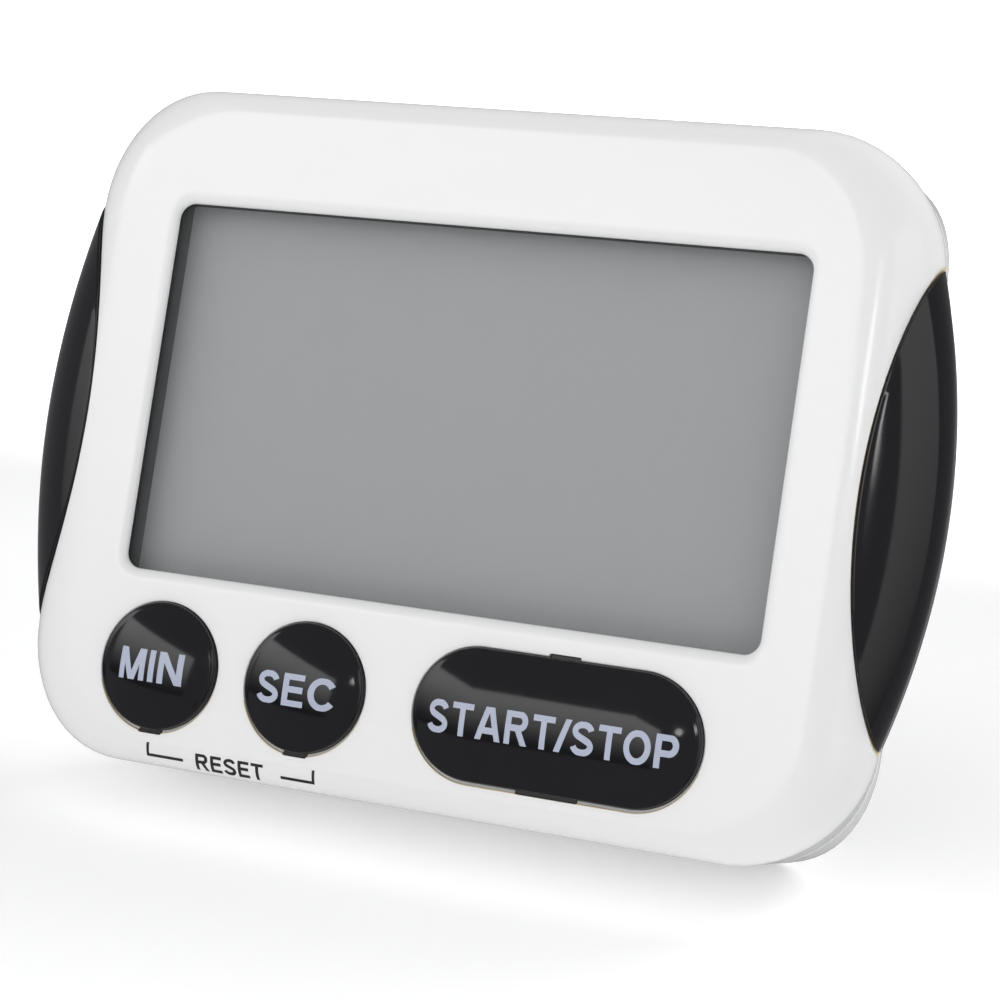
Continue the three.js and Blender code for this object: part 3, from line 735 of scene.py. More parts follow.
# The leg's pocket, the battery's tray and the way in to it.
POCKET = {"half": 12.4, "low": -31.7, "high": 12.0, "floor": 17.0, "corner": 2.2}
NOTCH = {"half": 6, "floor": 18.4}
SOCKET = {"half": 15, "radius": 1.5}
TRAY = {"half": 26.8, "front": 6.85, "back": 17.4, "low": 13.2, "high": 26.8}
CELL_SPACE = {"half": 25.6, "front": 8.05, "low": 14.4, "high": 25.6}
CHANNEL = {"half": 26.3, "front": 17.4, "back": 19.01, "low": 14, "high": 31.3}
DOORWAY_FLOOR = 19
WRAP_LOW = HIGH_Z - 1.9
MAGNET_CUP = {"wall": 1.6, "front": 16.9, "gap": 0.15, "lip": 0.3, "under": 0.3}
COUNTERBORE = {"radius": 2.2, "lip": 0.25, "floor": 17.3}
SOUND_HOLE = {"radius": 0.8, "ring": 4, "count": 6, "lip": 0.2, "deep": 3}


def centred(name, half, y0, y1, z0, z1, corner):
    """A white block that is as wide to the left as to the right."""
    return slab(name, -half, half, y0, y1, z0, z1, gloss_white(), corner)


def add_back_posts(shell, start):
    """Joins the pocket's housing, the screw posts and the magnet cups, and trims them to the case."""
    inner = BACK_Y - 1
    wall = 1.6
    half, front, high = POCKET["half"] + wall, POCKET["floor"] - wall, POCKET["high"] + 1.4
    join(shell, centred("housing", half, front, inner, LOW_Z + 1, high, 1))
    for x, z in CASE_SCREWS:
        join(shell, drum("post", x, z, POST["back"], start, inner, gloss_white()))
    for magnet in MAGNETS:
        m = magnet.middle
        radius = magnet.size.x / 2 + MAGNET_CUP["wall"]
        join(shell, drum("cup", m.x, m.z, radius, MAGNET_CUP["front"], inner, gloss_white()))
    combine(shell, form("skin", 0, start, 1, gloss_white()), "INTERSECT")


def cut_battery_bay(shell):
    """Cuts the cell's space, the doorway, the rails' channels and the door's wrap over the top."""
    past = BACK_Y + PAST
    cell, rail = CELL_SPACE, CHANNEL
    half = DOOR_HALF + DOOR_GAP
    cut(
        shell,
        centred("cell_space", cell["half"], cell["front"], past, cell["low"], cell["high"], 0.6),
        centred("doorway", half, DOORWAY_FLOOR, past, DOOR.low.z - DOOR_GAP, BEYOND, 0.6),
        centred("channels", rail["half"], rail["front"], rail["back"], rail["low"], rail["high"], 0.4),
        centred("wrap", half, DOOR.low.y - DOOR_GAP, past, WRAP_LOW, BEYOND, 0.3),
    )


def cut_leg_pocket(shell):
    past = BACK_Y + PAST
    outline = rounded(POCKET["half"], POCKET["low"], POCKET["high"], POCKET["corner"], 6)
    cut(
        shell,
        prism("pocket", outline, POCKET["floor"], past, gloss_white()),
        centred("notch", NOTCH["half"], NOTCH["floor"], past, -BEYOND, POCKET["low"] + 1, 0.8),
        bar("sockets", PIVOT.y, PIVOT.z, SOCKET["radius"], -SOCKET["half"], SOCKET["half"], raw_cream()),
    )


def cut_back_holes(shell, start):
    """Cuts the magnets' pockets, the screws' holes and the sound holes."""
    cup = MAGNET_CUP
    for magnet in MAGNETS:
        m = magnet.middle
        outline = stadium(m.x, m.z, 0, magnet.size.x / 2 + cup["gap"], 32)
        cut(shell, flared_back_hole("magnet_pocket", outline, cup["lip"], magnet.low.y - cup["under"]))
    for x, z in CASE_SCREWS:
        outline = stadium(x, z, 0, COUNTERBORE["radius"], 20)
        cut(shell, flared_back_hole("counterbore", outline, COUNTERBORE["lip"], COUNTERBORE["floor"]))
        cut(shell, drum("bore", x, z, POST["bore"], start - 1, BACK_Y, raw_cream()))
    hole = SOUND_HOLE
    middle = BUZZER.middle
    spots = [(middle.x, middle.z)]
    for i in range(hole["count"]):
        turn = 2 * math.pi / hole["count"] * i
        spots.append((middle.x + hole["ring"] * math.cos(turn), middle.z + hole["ring"] * math.sin(turn)))
    for x, z in spots:
        outline = stadium(x, z, 0, hole["radius"], 12)
        cut(shell, flared_back_hole("sound_hole", outline, hole["lip"], BACK_Y - hole["deep"]))


def make_rear_shell():
    s = bpy.context.scene.timer_case
    start = PARTING + SHELL_GAP
    shell = form("rear_shell_visual", 0, start, 1, gloss_white())
    cut(shell, form("hollow", mm(s.wall), start - 2, 1, raw_cream()))
    add_back_posts(shell, start)
    join(shell, centred("tray", TRAY["half"], TRAY["front"], TRAY["back"], TRAY["low"], TRAY["high"], 0.6))
    for side in (-1, 1):
        cut(shell, grip_bay(side))
    cut_battery_bay(shell)
    cut_leg_pocket(shell)
    cut_back_holes(shell, start)
    return settle(shell, "case", ["rear_shell"])


def flared_back_hole(name, outline, lip, deepest):
    """A cutter into the back face with a small rolled lip."""
    loops = [at_depth(outline, deepest)]
    steps = 4
    for i in range(steps + 1):
        turn = math.pi / 2 * i / steps
        flare = lip * (1 - math.cos(turn))
        y = BACK_Y - lip + lip * math.sin(turn)
        loops.append([(x + nx * flare, y, z + nz * flare) for x, z, nx, nz in outline])
    spare = 0.5
    wide = lip + spare
    loops.append([(x + nx * wide, BACK_Y + spare, z + nz * wide) for x, z, nx, nz in outline])
    return loft(name, loops, gloss_white())


# ---------- grips ----------


# The hooks that hold a grip: stems through the shell's side and heads behind it.
HOOK = {
    "heights": (-9, 9),
    "stem": (36.6, 41, 8.6, 11.4, 3),
    "head": (35.6, 36.8, 8.9, 11.4, 4.2),
    "corner": 0.3,
}
# How far in from the roll of the case a grip's own roll starts, at its middle.
EARLIER_ROLL = 1.5
LEAST_WIDE = 0.02


def outer_edge(z):
    """Across position of a grip's outermost edge at a height."""
    g = bpy.context.scene.timer_grips
    radius = mm(g.outer_radius)
    return GRIP_TIP_X - mm(g.trim) - radius + math.sqrt(radius**2 - z**2)


def grip_section(side, z, tip):
    """The section of a grip across the case at a height, from its inner front edge round to the back."""
    s = bpy.context.scene.timer_case
    g = bpy.context.scene.timer_grips
    fade = (z / tip) ** 2
    fullness = s.fullness + g.extra * (1 - fade)
    front_deep = mm(s.side_depth)
    back_deep = BACK_Y - front_deep - (BACK_Y - front_deep - mm(s.back_roll)) * fade
    front_x = mm(s.half_width) - mm(s.side_roll) - EARLIER_ROLL * (1 - fade)
    back_x = mm(s.half_width) - mm(s.draft) - mm(s.back_roll)
    outside = outer_edge(z)
    inside = bay_edge(z, mm(g.gap))
    outside = max(outside, inside + LEAST_WIDE)
    rear = outside - mm(s.draft) * fade
    rear_inside = inside - mm(s.draft) * fade
    edge = min(mm(g.edge), (outside - inside) / 3)

    def front_y(x):
        return front_deep * (1 - math.sqrt(max(0.0, 1 - ((x - front_x) / (outside - front_x)) ** 2)))

    def back_y(x):
        if x <= back_x:
            return BACK_Y
        across = min(1.0, (x - back_x) / (rear - back_x))
        return BACK_Y - back_deep * (1 - (1 - across**fullness) ** (1 / fullness))

    points = []
    few, many = 3, 20
    for i in range(few + 1):
        turn = math.pi / 2 * i / few
        x = inside + edge * (1 - math.cos(turn))
        points.append((x, front_y(inside + edge) + edge * (1 - math.sin(turn))))
    start = math.asin(min(1.0, (inside + edge - front_x) / (outside - front_x)))
    for i in range(1, many + 1):
        turn = start + (math.pi / 2 - start) * i / many
        points.append((front_x + (outside - front_x) * math.sin(turn), front_deep * (1 - math.cos(turn))))
    start = math.asin(max(-1.0, min(1.0, (rear_inside + edge - back_x) / (rear - back_x))))
    for i in range(many + 1):
        turn = math.pi / 2 + (start - math.pi / 2) * i / many
        x = back_x + (rear - back_x) * math.sin(turn)
        points.append((x, back_y(x)))
    for i in range(few + 1):
        turn = math.pi / 2 * (1 - i / few)
        x = rear_inside + edge * (1 - math.cos(turn))
        points.append((x, back_y(rear_inside + edge) - edge * (1 - math.sin(turn))))
    return [(side * x, y, z) for x, y in points]


def make_grip(side):
    g = bpy.context.scene.timer_grips
    tip = 1.0
    while outer_edge(tip) > bay_edge(tip, mm(g.gap)):
        tip += 0.01
    loops = []
    steps = 72
    for i in range(steps + 1):
        z = tip * math.sin(math.pi / 2 * (2 * i / steps - 1))
        loops.append(grip_section(side, z, tip))
    name = "right_grip" if side > 0 else "left_grip"
    grip = loft(f"{name}_visual", loops, gloss_black())
    for z in HOOK["heights"]:
        lug = None
        for part in ("stem", "head"):
            near, far, front, back, tall = HOOK[part]
            ends = sorted((side * near, side * far))
            block = slab(part, *ends, front, back, z - tall, z + tall, gloss_black(), HOOK["corner"])
            lug = join(lug, block) if lug else block
        join(grip, lug)
    return settle(grip, "case", [name])


# ---------- keys ----------


# Depths behind the face where a key's skirt ends and where its ears start.
SKIRT_END = 3.2
EAR_FRONT = 2.3
# Above and below this the ears are cut away, so that they stand out at the sides only.
EAR_TALL = 4.5
STEM_RADIUS = 2
STEM_DEPTHS = (2.2, 5)
CROWN_RINGS = 18
PAD_STEPS = 24


def crown_height(key, x, z):
    """Depth of the key's crown at a place on the face."""
    s = bpy.context.scene.timer_keys
    along = max(0.0, abs(x - key.x) - key.half)
    reach = min(1.0, math.hypot(along, z - key.z) / mm(s.radius))
    return -mm(s.proud) - mm(s.crown) * (1 - reach**2)


def make_button(key):
    s = bpy.context.scene.timer_keys
    radius = mm(s.radius)
    edge = mm(s.edge)
    rim = radius - edge
    shoulder = -mm(s.proud) - mm(s.crown) * (1 - (rim / radius) ** 2)
    steps = 8
    rounded_to = math.radians(76)
    rings = [(radius, SKIRT_END), (radius, shoulder + edge)]
    for i in range(1, steps):
        turn = rounded_to * i / steps
        rings.append((rim + edge * math.cos(turn), shoulder + edge - edge * math.sin(turn)))
    for i in range(CROWN_RINGS + 1):
        reach = (rim + 0.02) * (1 - i / (CROWN_RINGS + 0.6))
        rings.append((reach, -mm(s.proud) - mm(s.crown) * (1 - (reach / radius) ** 2)))
    loops = [at_depth(stadium(key.x, key.z, key.half, max(r, 0.05)), y) for r, y in rings]
    button = loft(f"{key.name}_button_visual", loops, gloss_black())
    ears = prism("ears", stadium(key.x, key.z, key.half, EAR_RADIUS), EAR_FRONT, SKIRT_END, gloss_black())
    middle = slab("middle", -BEYOND, BEYOND, 0, SKIRT_END + 2.8, key.z - EAR_TALL, key.z + EAR_TALL)
    join(button, combine(ears, middle, "INTERSECT"))
    join(button, *tab_blocks(key, TAB["front"], SKIRT_END, 0, TAB["reach"], gloss_black()))
    join(button, drum("stem", key.x, key.z, STEM_RADIUS, *STEM_DEPTHS, gloss_black()))
    return settle(button, f"{key.name}_key", [f"{key.name}_button"])


def make_pad(key):
    """A soft dome under a key: flat on top, sloping out to a rim on the board, and hollow."""
    node = f"{key.name}_key_pad"
    box = Reach(node)
    back = box.high.y
    wide = box.size.x / 2
    profile = [
        (2.1, box.low.y),
        (2.4, box.low.y + 0.1),
        (wide - 1.1, back - 1.1),
        (wide - 0.8, back - 0.9),
        (wide - 0.1, back - 0.9),
        (wide, back - 0.8),
        (wide, back),
        (wide - 1.8, back),
        (1.9, box.low.y + 1.2),
        (0.05, box.low.y + 1.2),
    ]
    loops = [at_depth(stadium(key.x, key.z, 0, 0.05, PAD_STEPS), box.low.y)]
    loops += [at_depth(stadium(key.x, key.z, 0, r, PAD_STEPS), y) for r, y in profile]
    pad = loft(f"{node}_visual", loops, cream_rubber())
    settle(pad, "case", [node])
    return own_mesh(pad)


# ---------- lettering ----------

FILM = 0.02


def bow(x, z, wide, tall, start, end, steps=14):
    """Points round part of an oval, between two angles in degrees."""
    turns = [math.radians(start + (end - start) * i / steps) for i in range(steps + 1)]
    return [(x + wide * math.cos(t), z + tall * math.sin(t)) for t in turns]


# Bold capitals one unit tall: each has its width and the middle lines of its strokes.
STEM = [(0.1, 0), (0.1, 1)]
CAPITALS = {
    "A": (0.9, [[(0.07, -0.1), (0.43, 1.1)], [(0.83, -0.1), (0.47, 1.1)], [(0.22, 0.29), (0.68, 0.29)]]),
    "C": (0.84, [bow(0.44, 0.5, 0.345, 0.413, 36, 324, 26)]),
    "E": (0.7, [
        STEM,
        [(0.1, 0.087), (0.7, 0.087)],
        [(0.1, 0.52), (0.66, 0.52)],
        [(0.1, 0.913), (0.69, 0.913)],
    ]),
    "I": (0.2, [STEM]),
    "M": (0.96, [
        STEM,
        [(0.86, 0), (0.86, 1)],
        [(0.1, 1.12), (0.49, -0.08)],
        [(0.86, 1.12), (0.47, -0.08)],
    ]),
    "N": (0.82, [STEM, [(0.72, 0), (0.72, 1)], [(0.06, 1.1), (0.76, -0.1)]]),
    "O": (0.9, [bow(0.45, 0.5, 0.355, 0.413, 0, 348, 29)]),
    "P": (0.74, [
        STEM,
        [(0.1, 0.913), (0.46, 0.913)],
        bow(0.44, 0.68, 0.205, 0.233, 90, -90),
        [(0.1, 0.447), (0.46, 0.447)],
    ]),
    "R": (0.82, [
        STEM,
        [(0.1, 0.913), (0.5, 0.913)],
        bow(0.48, 0.708, 0.205, 0.205, 90, -90),
        [(0.1, 0.503), (0.5, 0.503)],
        [(0.42, 0.52), (0.74, -0.08)],
    ]),
    "S": (0.78, [bow(0.39, 0.722, 0.275, 0.191, 8, 245) + bow(0.39, 0.278, 0.295, 0.191, 65, -172)]),
    "T": (0.76, [[(0.38, 0), (0.38, 1)], [(0, 0.913), (0.76, 0.913)]]),
    "/": (0.34, [[(-0.03, -0.1), (0.37, 1.1)]]),
}
RINGS = "O"
LETTER_GAP = 0.13
KEY_WEIGHT = 0.195
RESET_WEIGHT = 0.19
# Size of the squares that a print is cut into: finer where the edge of the case rolls away.
PITCH = 0.35
FINE_PITCH = 0.1


def band(points, wide, ring=False):
    """A flat band of even width along a line, FILM thick."""
    count = len(points)
    loops = []
    for i, (x, z) in enumerate(points):
        before = points[(i - 1) % count] if ring else points[max(i - 1, 0)]
        after = points[(i + 1) % count] if ring else points[min(i + 1, count - 1)]
        way = Vector((after[0] - before[0], after[1] - before[1])).normalized() * wide / 2
        left_x, left_z = x - way.y, z + way.x
        right_x, right_z = x + way.y, z - way.x
        loops.append([
            (left_x, -FILM, left_z),
            (left_x, 0, left_z),
            (right_x, 0, right_z),
            (right_x, -FILM, right_z),
        ])
    return loft("band", loops, closed=ring)


def words(text, left, right, low, high, weight):
    """Bold capitals that fill the box given in millimetres."""
    total = sum(CAPITALS[c][0] for c in text) + LETTER_GAP * (len(text) - 1)
    start = 0.0
    made = None
    for capital in text:
        width, strokes = CAPITALS[capital]
        letter = None
        for stroke in strokes:
            shifted = [(start + x, z) for x, z in stroke]
            part = band(shifted, weight, ring=capital in RINGS)
            letter = join(letter, part) if letter else part
        made = join(made, letter) if made else letter
        start += width + LETTER_GAP
    trim = slab("trim", -0.2, total + 0.2, -1, 1, 0, 1)
    combine(made, trim, "INTERSECT")
    for v in made.data.vertices:
        v.co.x = left + v.co.x * (right - left) / total
        v.co.z = low + v.co.z * (high - low)
    return made


def drape(flat, height, ink, name, body, pitch=PITCH):
    """Lays a flat film on the surface that height gives, cut into squares of the pitch."""
    sliced = bmesh.new()
    sliced.from_mesh(flat.data)
    for axis in (0, 2):
        low = min(v.co[axis] for v in sliced.verts)
        high = max(v.co[axis] for v in sliced.verts)
        for i in range(1, int((high - low) / pitch) + 1):
            spot = Vector((0, 0, 0))
            spot[axis] = low + pitch * i
            way = Vector((0, 0, 0))
            way[axis] = 1
            whole = [*sliced.verts, *sliced.edges, *sliced.faces]
            bmesh.ops.bisect_plane(sliced, geom=whole, plane_co=spot, plane_no=way)
    sliced.to_mesh(flat.data)
    sliced.free()
    for v in flat.data.vertices:
        v.co.y += height(v.co.x, v.co.z) + FILM / 4
    flat.data.materials.clear()
    flat.data.materials.append(ink)
    flat.name = name
    return settle(flat, body)


def face_depth(x, z):
    """Depth of the front face near its lower edge."""
    s = bpy.context.scene.timer_case
    over = LOW_Z + mm(s.end_roll) - z
    if over <= 0:
        return 0.0
    return mm(s.end_depth) * (1 - math.sqrt(max(0.0, 1 - (over / mm(s.end_roll)) ** 2)))


def make_lettering():
    """Prints the keys' words and, under the first two, RESET between its brackets."""
    tall = mm(bpy.context.scene.timer_keys.print_height)
    prints = [
        (KEYS[0], "MIN", 7.0, -0.1, -0.1, "minute_print"),
        (KEYS[1], "SEC", 8.4, -0.2, -0.35, "second_print"),
        (KEYS[2], "START/STOP", 24.6, 0.1, -0.6, "start_stop_print"),
    ]
    for key, text, width, shift, drop, name in prints:
        left = key.x + shift - width / 2
        low = key.z + drop - tall / 2
        flat = words(text, left, left + width, low, low + tall, KEY_WEIGHT)
        drape(flat, lambda x, z, key=key: crown_height(key, x, z), key_print(), name, f"{key.name}_key")
    flat = words("RESET", -21.6, -14.2, -33.65, -32.1, RESET_WEIGHT)
    drape(flat, face_depth, black_print(), "reset_print", "case", FINE_PITCH)
    line = 0.28
    low = -33.0
    tick_tall = 1.2
    for name, corner, end in (("left", -26.9, -23.0), ("right", -8.8, -12.3)):
        tick = band([(corner, low - line / 2), (corner, low + tick_tall)], line)
        flat = join(tick, band([(corner, low), (end, low)], line))
        drape(flat, face_depth, black_print(), f"{name}_bracket_print", "case", FINE_PITCH)


# ---------- display ----------


LENS_CORNER = 1.2
LENS_EDGE = 0.12
SHEET_CORNER = 0.3
SHEET_EDGE = 0.08
BORDER_INSET = 0.1
# The viewing area inside the printed border: half its width, its height over the glass's edge, its top.
VIEWING = {"half": 33.0, "over": 0.4, "high": 21.9}


def make_display():
    """The clear lens and the display behind it: two glasses, a reflector and a printed border."""
    outline = rounded(LENS.size.x / 2, LENS.low.z, LENS.high.z, LENS_CORNER, 6)
    lens = prism("window_lens_visual", outline, LENS.low.y, LENS.high.y, window_clear(), LENS_EDGE)
    settle(lens, "case", ["window_lens"])
    sheets = [
        ("lcd_front_glass", crystal_glass(), "lcd_glass"),
        ("lcd_rear_glass", crystal_glass(), "lcd_glass"),
        ("lcd_reflector", display_grey(), "foil"),
    ]
    for node, coat, slot in sheets:
        box = Reach(node)
        outline = rounded(box.size.x / 2, box.low.z, box.high.z, SHEET_CORNER, 4)
        edge = min(SHEET_EDGE, box.size.y / 4)
        sheet = prism(f"{node}_visual", outline, box.low.y, box.high.y, coat, edge)
        settle(sheet, "case", [node])
    glass = Reach("lcd_front_glass")
    gap = BORDER_INSET
    whole = rounded(glass.size.x / 2 - gap, glass.low.z + gap, glass.high.z - gap, SHEET_CORNER, 4)
    border = prism("display_border_visual", whole, glass.low.y - FILM, glass.low.y, bezel_grey())
    viewing = rounded(VIEWING["half"], glass.low.z + VIEWING["over"], VIEWING["high"], SHEET_CORNER, 4)
    settle(cut(border, prism("viewing_area", viewing, 0, 10, bezel_grey())), "case")
    dress("lcd_frame", bezel_grey(), 0.15)
    dress("contact_strip", dull_black(), 0.12)


def dress(node, coat, edge=0.0, crease=35):
    """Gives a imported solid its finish, softened edges and smooth shading."""
    solid = frame["nodes"][node]
    solid.data.materials.clear()
    solid.data.materials.append(coat)
    if edge:
        soften = solid.modifiers.new("soft edges", "BEVEL")
        soften.width = edge * MM
        soften.segments = 3
        soften.limit_method = "ANGLE"
        soften.angle_limit = math.radians(crease)
    solid.data.shade_smooth()
    solid.data.set_sharp_from_angle(angle=math.radians(crease))
    return solid


# ---------- battery ----------


DOOR_WALL = 1.7
# The rails under the door's sides: a web, and a foot that turns out under the shell.
RAIL = {"inside": 24.2, "web": 25, "foot": 26, "front": 17.7, "foot_back": 18.7, "low": 15, "high": 24}
GROOVE = {"count": 5, "low": 17, "step": 1.9, "half": 7, "shorter": 0.9, "radius": 0.6, "out": 0.15}
ARROW = {"half": 2.2, "low": 27, "tip": 29.6}


def make_door():
    """The battery door: the case's own back and top edge, with rails, finger grooves and an arrow."""
    t = bpy.context.scene.timer_stand
    door = form("battery_door_visual", 0, 10, 1, gloss_white())
    cut(door, form("hollow", DOOR_WALL, 8, 1, gloss_white()))
    past = BACK_Y + PAST
    keep = slab("keep", -DOOR_HALF, DOOR_HALF, DOOR.low.y, past, DOOR.low.z, BEYOND, gloss_white(), 0.8)
    combine(door, keep, "INTERSECT")
    r = RAIL
    for side in (-1, 1):
        web = sorted((side * r["inside"], side * r["web"]))
        foot = sorted((side * r["inside"], side * r["foot"]))
        rail = slab("web", *web, r["front"], BACK_Y - 0.8, r["low"], r["high"], gloss_white(), 0.2)
        turned_out = slab("foot", *foot, r["front"], r["foot_back"], r["low"], r["high"], gloss_white(), 0.2)
        join(door, join(rail, turned_out))
    g = GROOVE
    for i in range(g["count"]):
        z = g["low"] + g["step"] * i
        half = g["half"] - g["shorter"] * i
        cut(door, bar("groove", BACK_Y + g["out"], z, g["radius"], -half, half, gloss_white(), 0.5))
    half, low = ARROW["half"], ARROW["low"]
    outline = [(-half, low, 0, 0), (half, low, 0, 0), (0, ARROW["tip"], 0, 0)]
    cut(door, prism("arrow", outline, BACK_Y - mm(t.groove), BACK_Y + 1, gloss_white()))
    return settle(door, "door", ["battery_door"])


def make_cell():
    """The battery cell: a steel can with its nub, and a plain sleeve round it."""
    nub = 0.8
    nub_radius = 1.9
    radius = CELL.size.z / 2
    y, z = CELL.middle.y, CELL.middle.z
    end = CELL.high.x - nub
    can = bar("cell_can", y, z, radius - 0.12, CELL.low.x, end, steel(), 0.5)
    join(can, bar("nub", y, z, nub_radius, end - 1, CELL.high.x, steel(), 0.3))
    settle(can, "case", ["battery_cell"])
    sleeve = bar("cell_sleeve", y, z, radius, CELL.low.x + 0.5, end - 0.5, blue_sleeve(), 0.25)
    cut(sleeve, bar("bore", y, z, radius - 0.11, CELL.low.x - 1, end + 1, blue_sleeve()))
    settle(sleeve, "case")


# ---------- screws ----------


def make_screw(node, recess, threads):
    """A pan-head screw with a cross recess and a rolled thread."""
    box = Reach(node)
    x, z = box.middle.x, box.middle.z
    head = box.size.x / 2
    under = box.high.y - recess * 1.6
    shank = head * 0.52
    root = shank * 0.8
    tip = box.low.y
    rings = [(0.05, tip), (shank * 0.35, tip + 0.05), (root, tip + 0.7)]
    rungs = int((under - tip - 1.2) / threads)
    for i in range(rungs):
        base = tip + 0.8 + i * threads
        rings += [(root, base), (shank, base + threads * 0.5), (root, base + threads)]
    rings += [(root, under), (head * 0.94, under), (head, under + 0.12)]
    steps = 5
    rim = 0.3
    for i in range(1, steps + 1):
        turn = math.pi / 2 * i / steps
        reach = head * (0.55 + 0.45 * math.cos(turn))
        rings.append((reach, under + rim + (box.high.y - under - rim) * math.sin(turn)))
    rings.append((0.05, box.high.y))
    loops = [at_depth(stadium(x, z, 0, r, 16), y) for r, y in rings]
    screw = loft(f"{node}_visual", loops, steel())
    arm = head * 0.62
    blade = head * 0.13
    floor, past = box.high.y - recess, box.high.y + 1
    for wide, tall in ((arm, blade), (blade, arm)):
        cut(screw, slab("slot", x - wide, x + wide, floor, past, z - tall, z + tall, steel(), blade * 0.6))
    return settle(screw, "case", [node])


# ---------- leg and magnets ----------


# The leg: half its width, its corners, its hollows from left to right, its thumb groove and its pivots.
LEG_HALF = 12.0
FOOT_CORNER = 4
TOP_CORNER = 1
LEG_HOLLOWS = ((-9.6, -3.6), (-2.4, 2.4), (3.6, 9.6))
HOLLOW = {"over": 6, "under": 5.2, "corner": 1.2}
THUMB = {"out": 2.4, "up": 4.2, "radius": 3, "half": 4.5, "edge": 1.2}
STUB = {"radius": 1.2, "half": 13.4, "edge": 0.3}


def make_leg():
    """The fold-out leg, built in its own axes: up along the leg, inwards through it."""
    t = bpy.context.scene.timer_stand
    turn = Matrix.Rotation(math.radians(-LEG["range_deg"][0]), 3, "X")
    leg_up = turn @ UPWARD
    leg_in = turn @ INWARD
    pivot = Vector(LEG["pos_m"])
    matrix = turned(ACROSS, leg_in, leg_up, pivot)
    inverse = matrix.inverted()
    local = [inverse @ v.co for v in frame["nodes"]["stand_leg"].data.vertices]
    low = min(p.z for p in local)
    high = max(p.z for p in local)
    half_y = max(p.y for p in local)
    quarter = math.pi / 2
    foot, top = FOOT_CORNER, TOP_CORNER
    outline = [
        *arc(LEG_HALF - foot, low + foot, foot, -quarter, 0, 12),
        *arc(LEG_HALF - top, high - top, top, 0, quarter, 4),
        *arc(top - LEG_HALF, high - top, top, quarter, 2 * quarter, 4),
        *arc(foot - LEG_HALF, low + foot, foot, 2 * quarter, 3 * quarter, 12),
    ]
    leg = prism("stand_leg_visual", outline, -half_y, half_y, gloss_white(), mm(t.edge))
    depth = mm(t.rib)
    z0, z1 = low + HOLLOW["over"], high - HOLLOW["under"]
    for x0, x1 in LEG_HOLLOWS:
        hollow = rounded((x1 - x0) / 2, z0, z1, HOLLOW["corner"], 6, (x0 + x1) / 2)
        cut(leg, prism("hollow", hollow, -half_y - 1, depth - half_y, gloss_white()))
    y, z, half = half_y + THUMB["out"], low + THUMB["up"], THUMB["half"]
    cut(leg, bar("thumb", y, z, THUMB["radius"], -half, half, gloss_white(), THUMB["edge"]))
    half = STUB["half"]
    join(leg, bar("stubs", 0, 0, STUB["radius"], -half, half, gloss_white(), STUB["edge"]))
    return settle(leg, "leg", ["stand_leg"], matrix)


def make_magnet(side, box):
    m = box.middle
    disc = drum(f"{side}_magnet_visual", m.x, m.z, box.size.x / 2, box.low.y, box.high.y, nickel(), 0.25, 40)
    return settle(disc, "case", [f"{side}_magnet"])


# ---------- board, buzzer and wires ----------


def make_board():
    dress("circuit_board", board_green(), 0.1)
    dress("chip_blob", dull_black(), 0, 80)
    dress("crystal", steel(), 0.2, 50)
    dress("capacitor", blue_sleeve(), 0.3, 50)
    dress("buzzer_coil", dull_black(), 0.25, 50)
    dress("driver_transistor", dull_black(), 0.1)
    dress("chip_resistor", dull_black(), 0.06)
    for node, coat, slot in (
        ("buzzer_plate", brass(), "brass"),
        ("buzzer_disc", ceramic(), "ceramic"),
        ("spring_contact", steel(), "steel"),
        ("plate_contact", steel(), "steel"),
    ):
        dress(node, coat, 0.04, 50)
    for node, coat, slot in (
        ("buzzer_wire_red", red_insulation(), "red_insulation"),
        ("buzzer_wire_black", dull_black(), "dark_rubber"),
        ("battery_wire_red", red_insulation(), "red_insulation"),
        ("battery_wire_black", dull_black(), "dark_rubber"),
    ):
        dress(node, coat, 0, 60)


# ---------- stage ----------


def area_lamp(name, place, target, size, power):
    """A white lamp, round when its two sizes are the same."""
    lamp = bpy.data.lights.new(name, "AREA")
    lamp.shape = "ELLIPSE" if size[0] == size[1] else "RECTANGLE"
    lamp.size, lamp.size_y = size
    lamp.energy = power
    held = bpy.data.objects.new(name, lamp)
    held.location = place
    held.rotation_euler = (Vector(target) - Vector(place)).to_track_quat("-Z", "Y").to_euler()
    bpy.context.scene.collection.objects.link(held)
    return held


def fade(coat, axis, reach, glow, stops=()):
    """Makes a coat glow more and more along one axis of its object, or by stops of (part, glow)."""
    nodes = coat.node_tree.nodes
    links = coat.node_tree.links
    place = nodes.new("ShaderNodeTexCoord")
    split = nodes.new("ShaderNodeSeparateXYZ")
    slope = nodes.new("ShaderNodeMapRange")
    slope.interpolation_type = "SMOOTHSTEP"
    slope.inputs["From Min"].default_value, slope.inputs["From Max"].default_value = reach
    slope.inputs["To Min"].default_value, slope.inputs["To Max"].default_value = glow
    links.new(place.outputs["Object"], split.inputs["Vector"])
    links.new(split.outputs[axis], slope.inputs["Value"])
    if not stops:
        links.new(slope.outputs["Result"], nodes["Principled BSDF"].inputs["Emission Strength"])
        return
    ramp = nodes.new("ShaderNodeValToRGB")
    ramp.color_ramp.interpolation = "EASE"
    for part, strength in stops[1:-1]:
        ramp.color_ramp.elements.new(part)
    for element, (part, strength) in zip(ramp.color_ramp.elements, stops):
        element.position = part
        element.color = (strength, strength, strength, 1)
    links.new(slope.outputs["Result"], ramp.inputs["Fac"])
    links.new(ramp.outputs["Color"], nodes["Principled BSDF"].inputs["Emission Strength"])


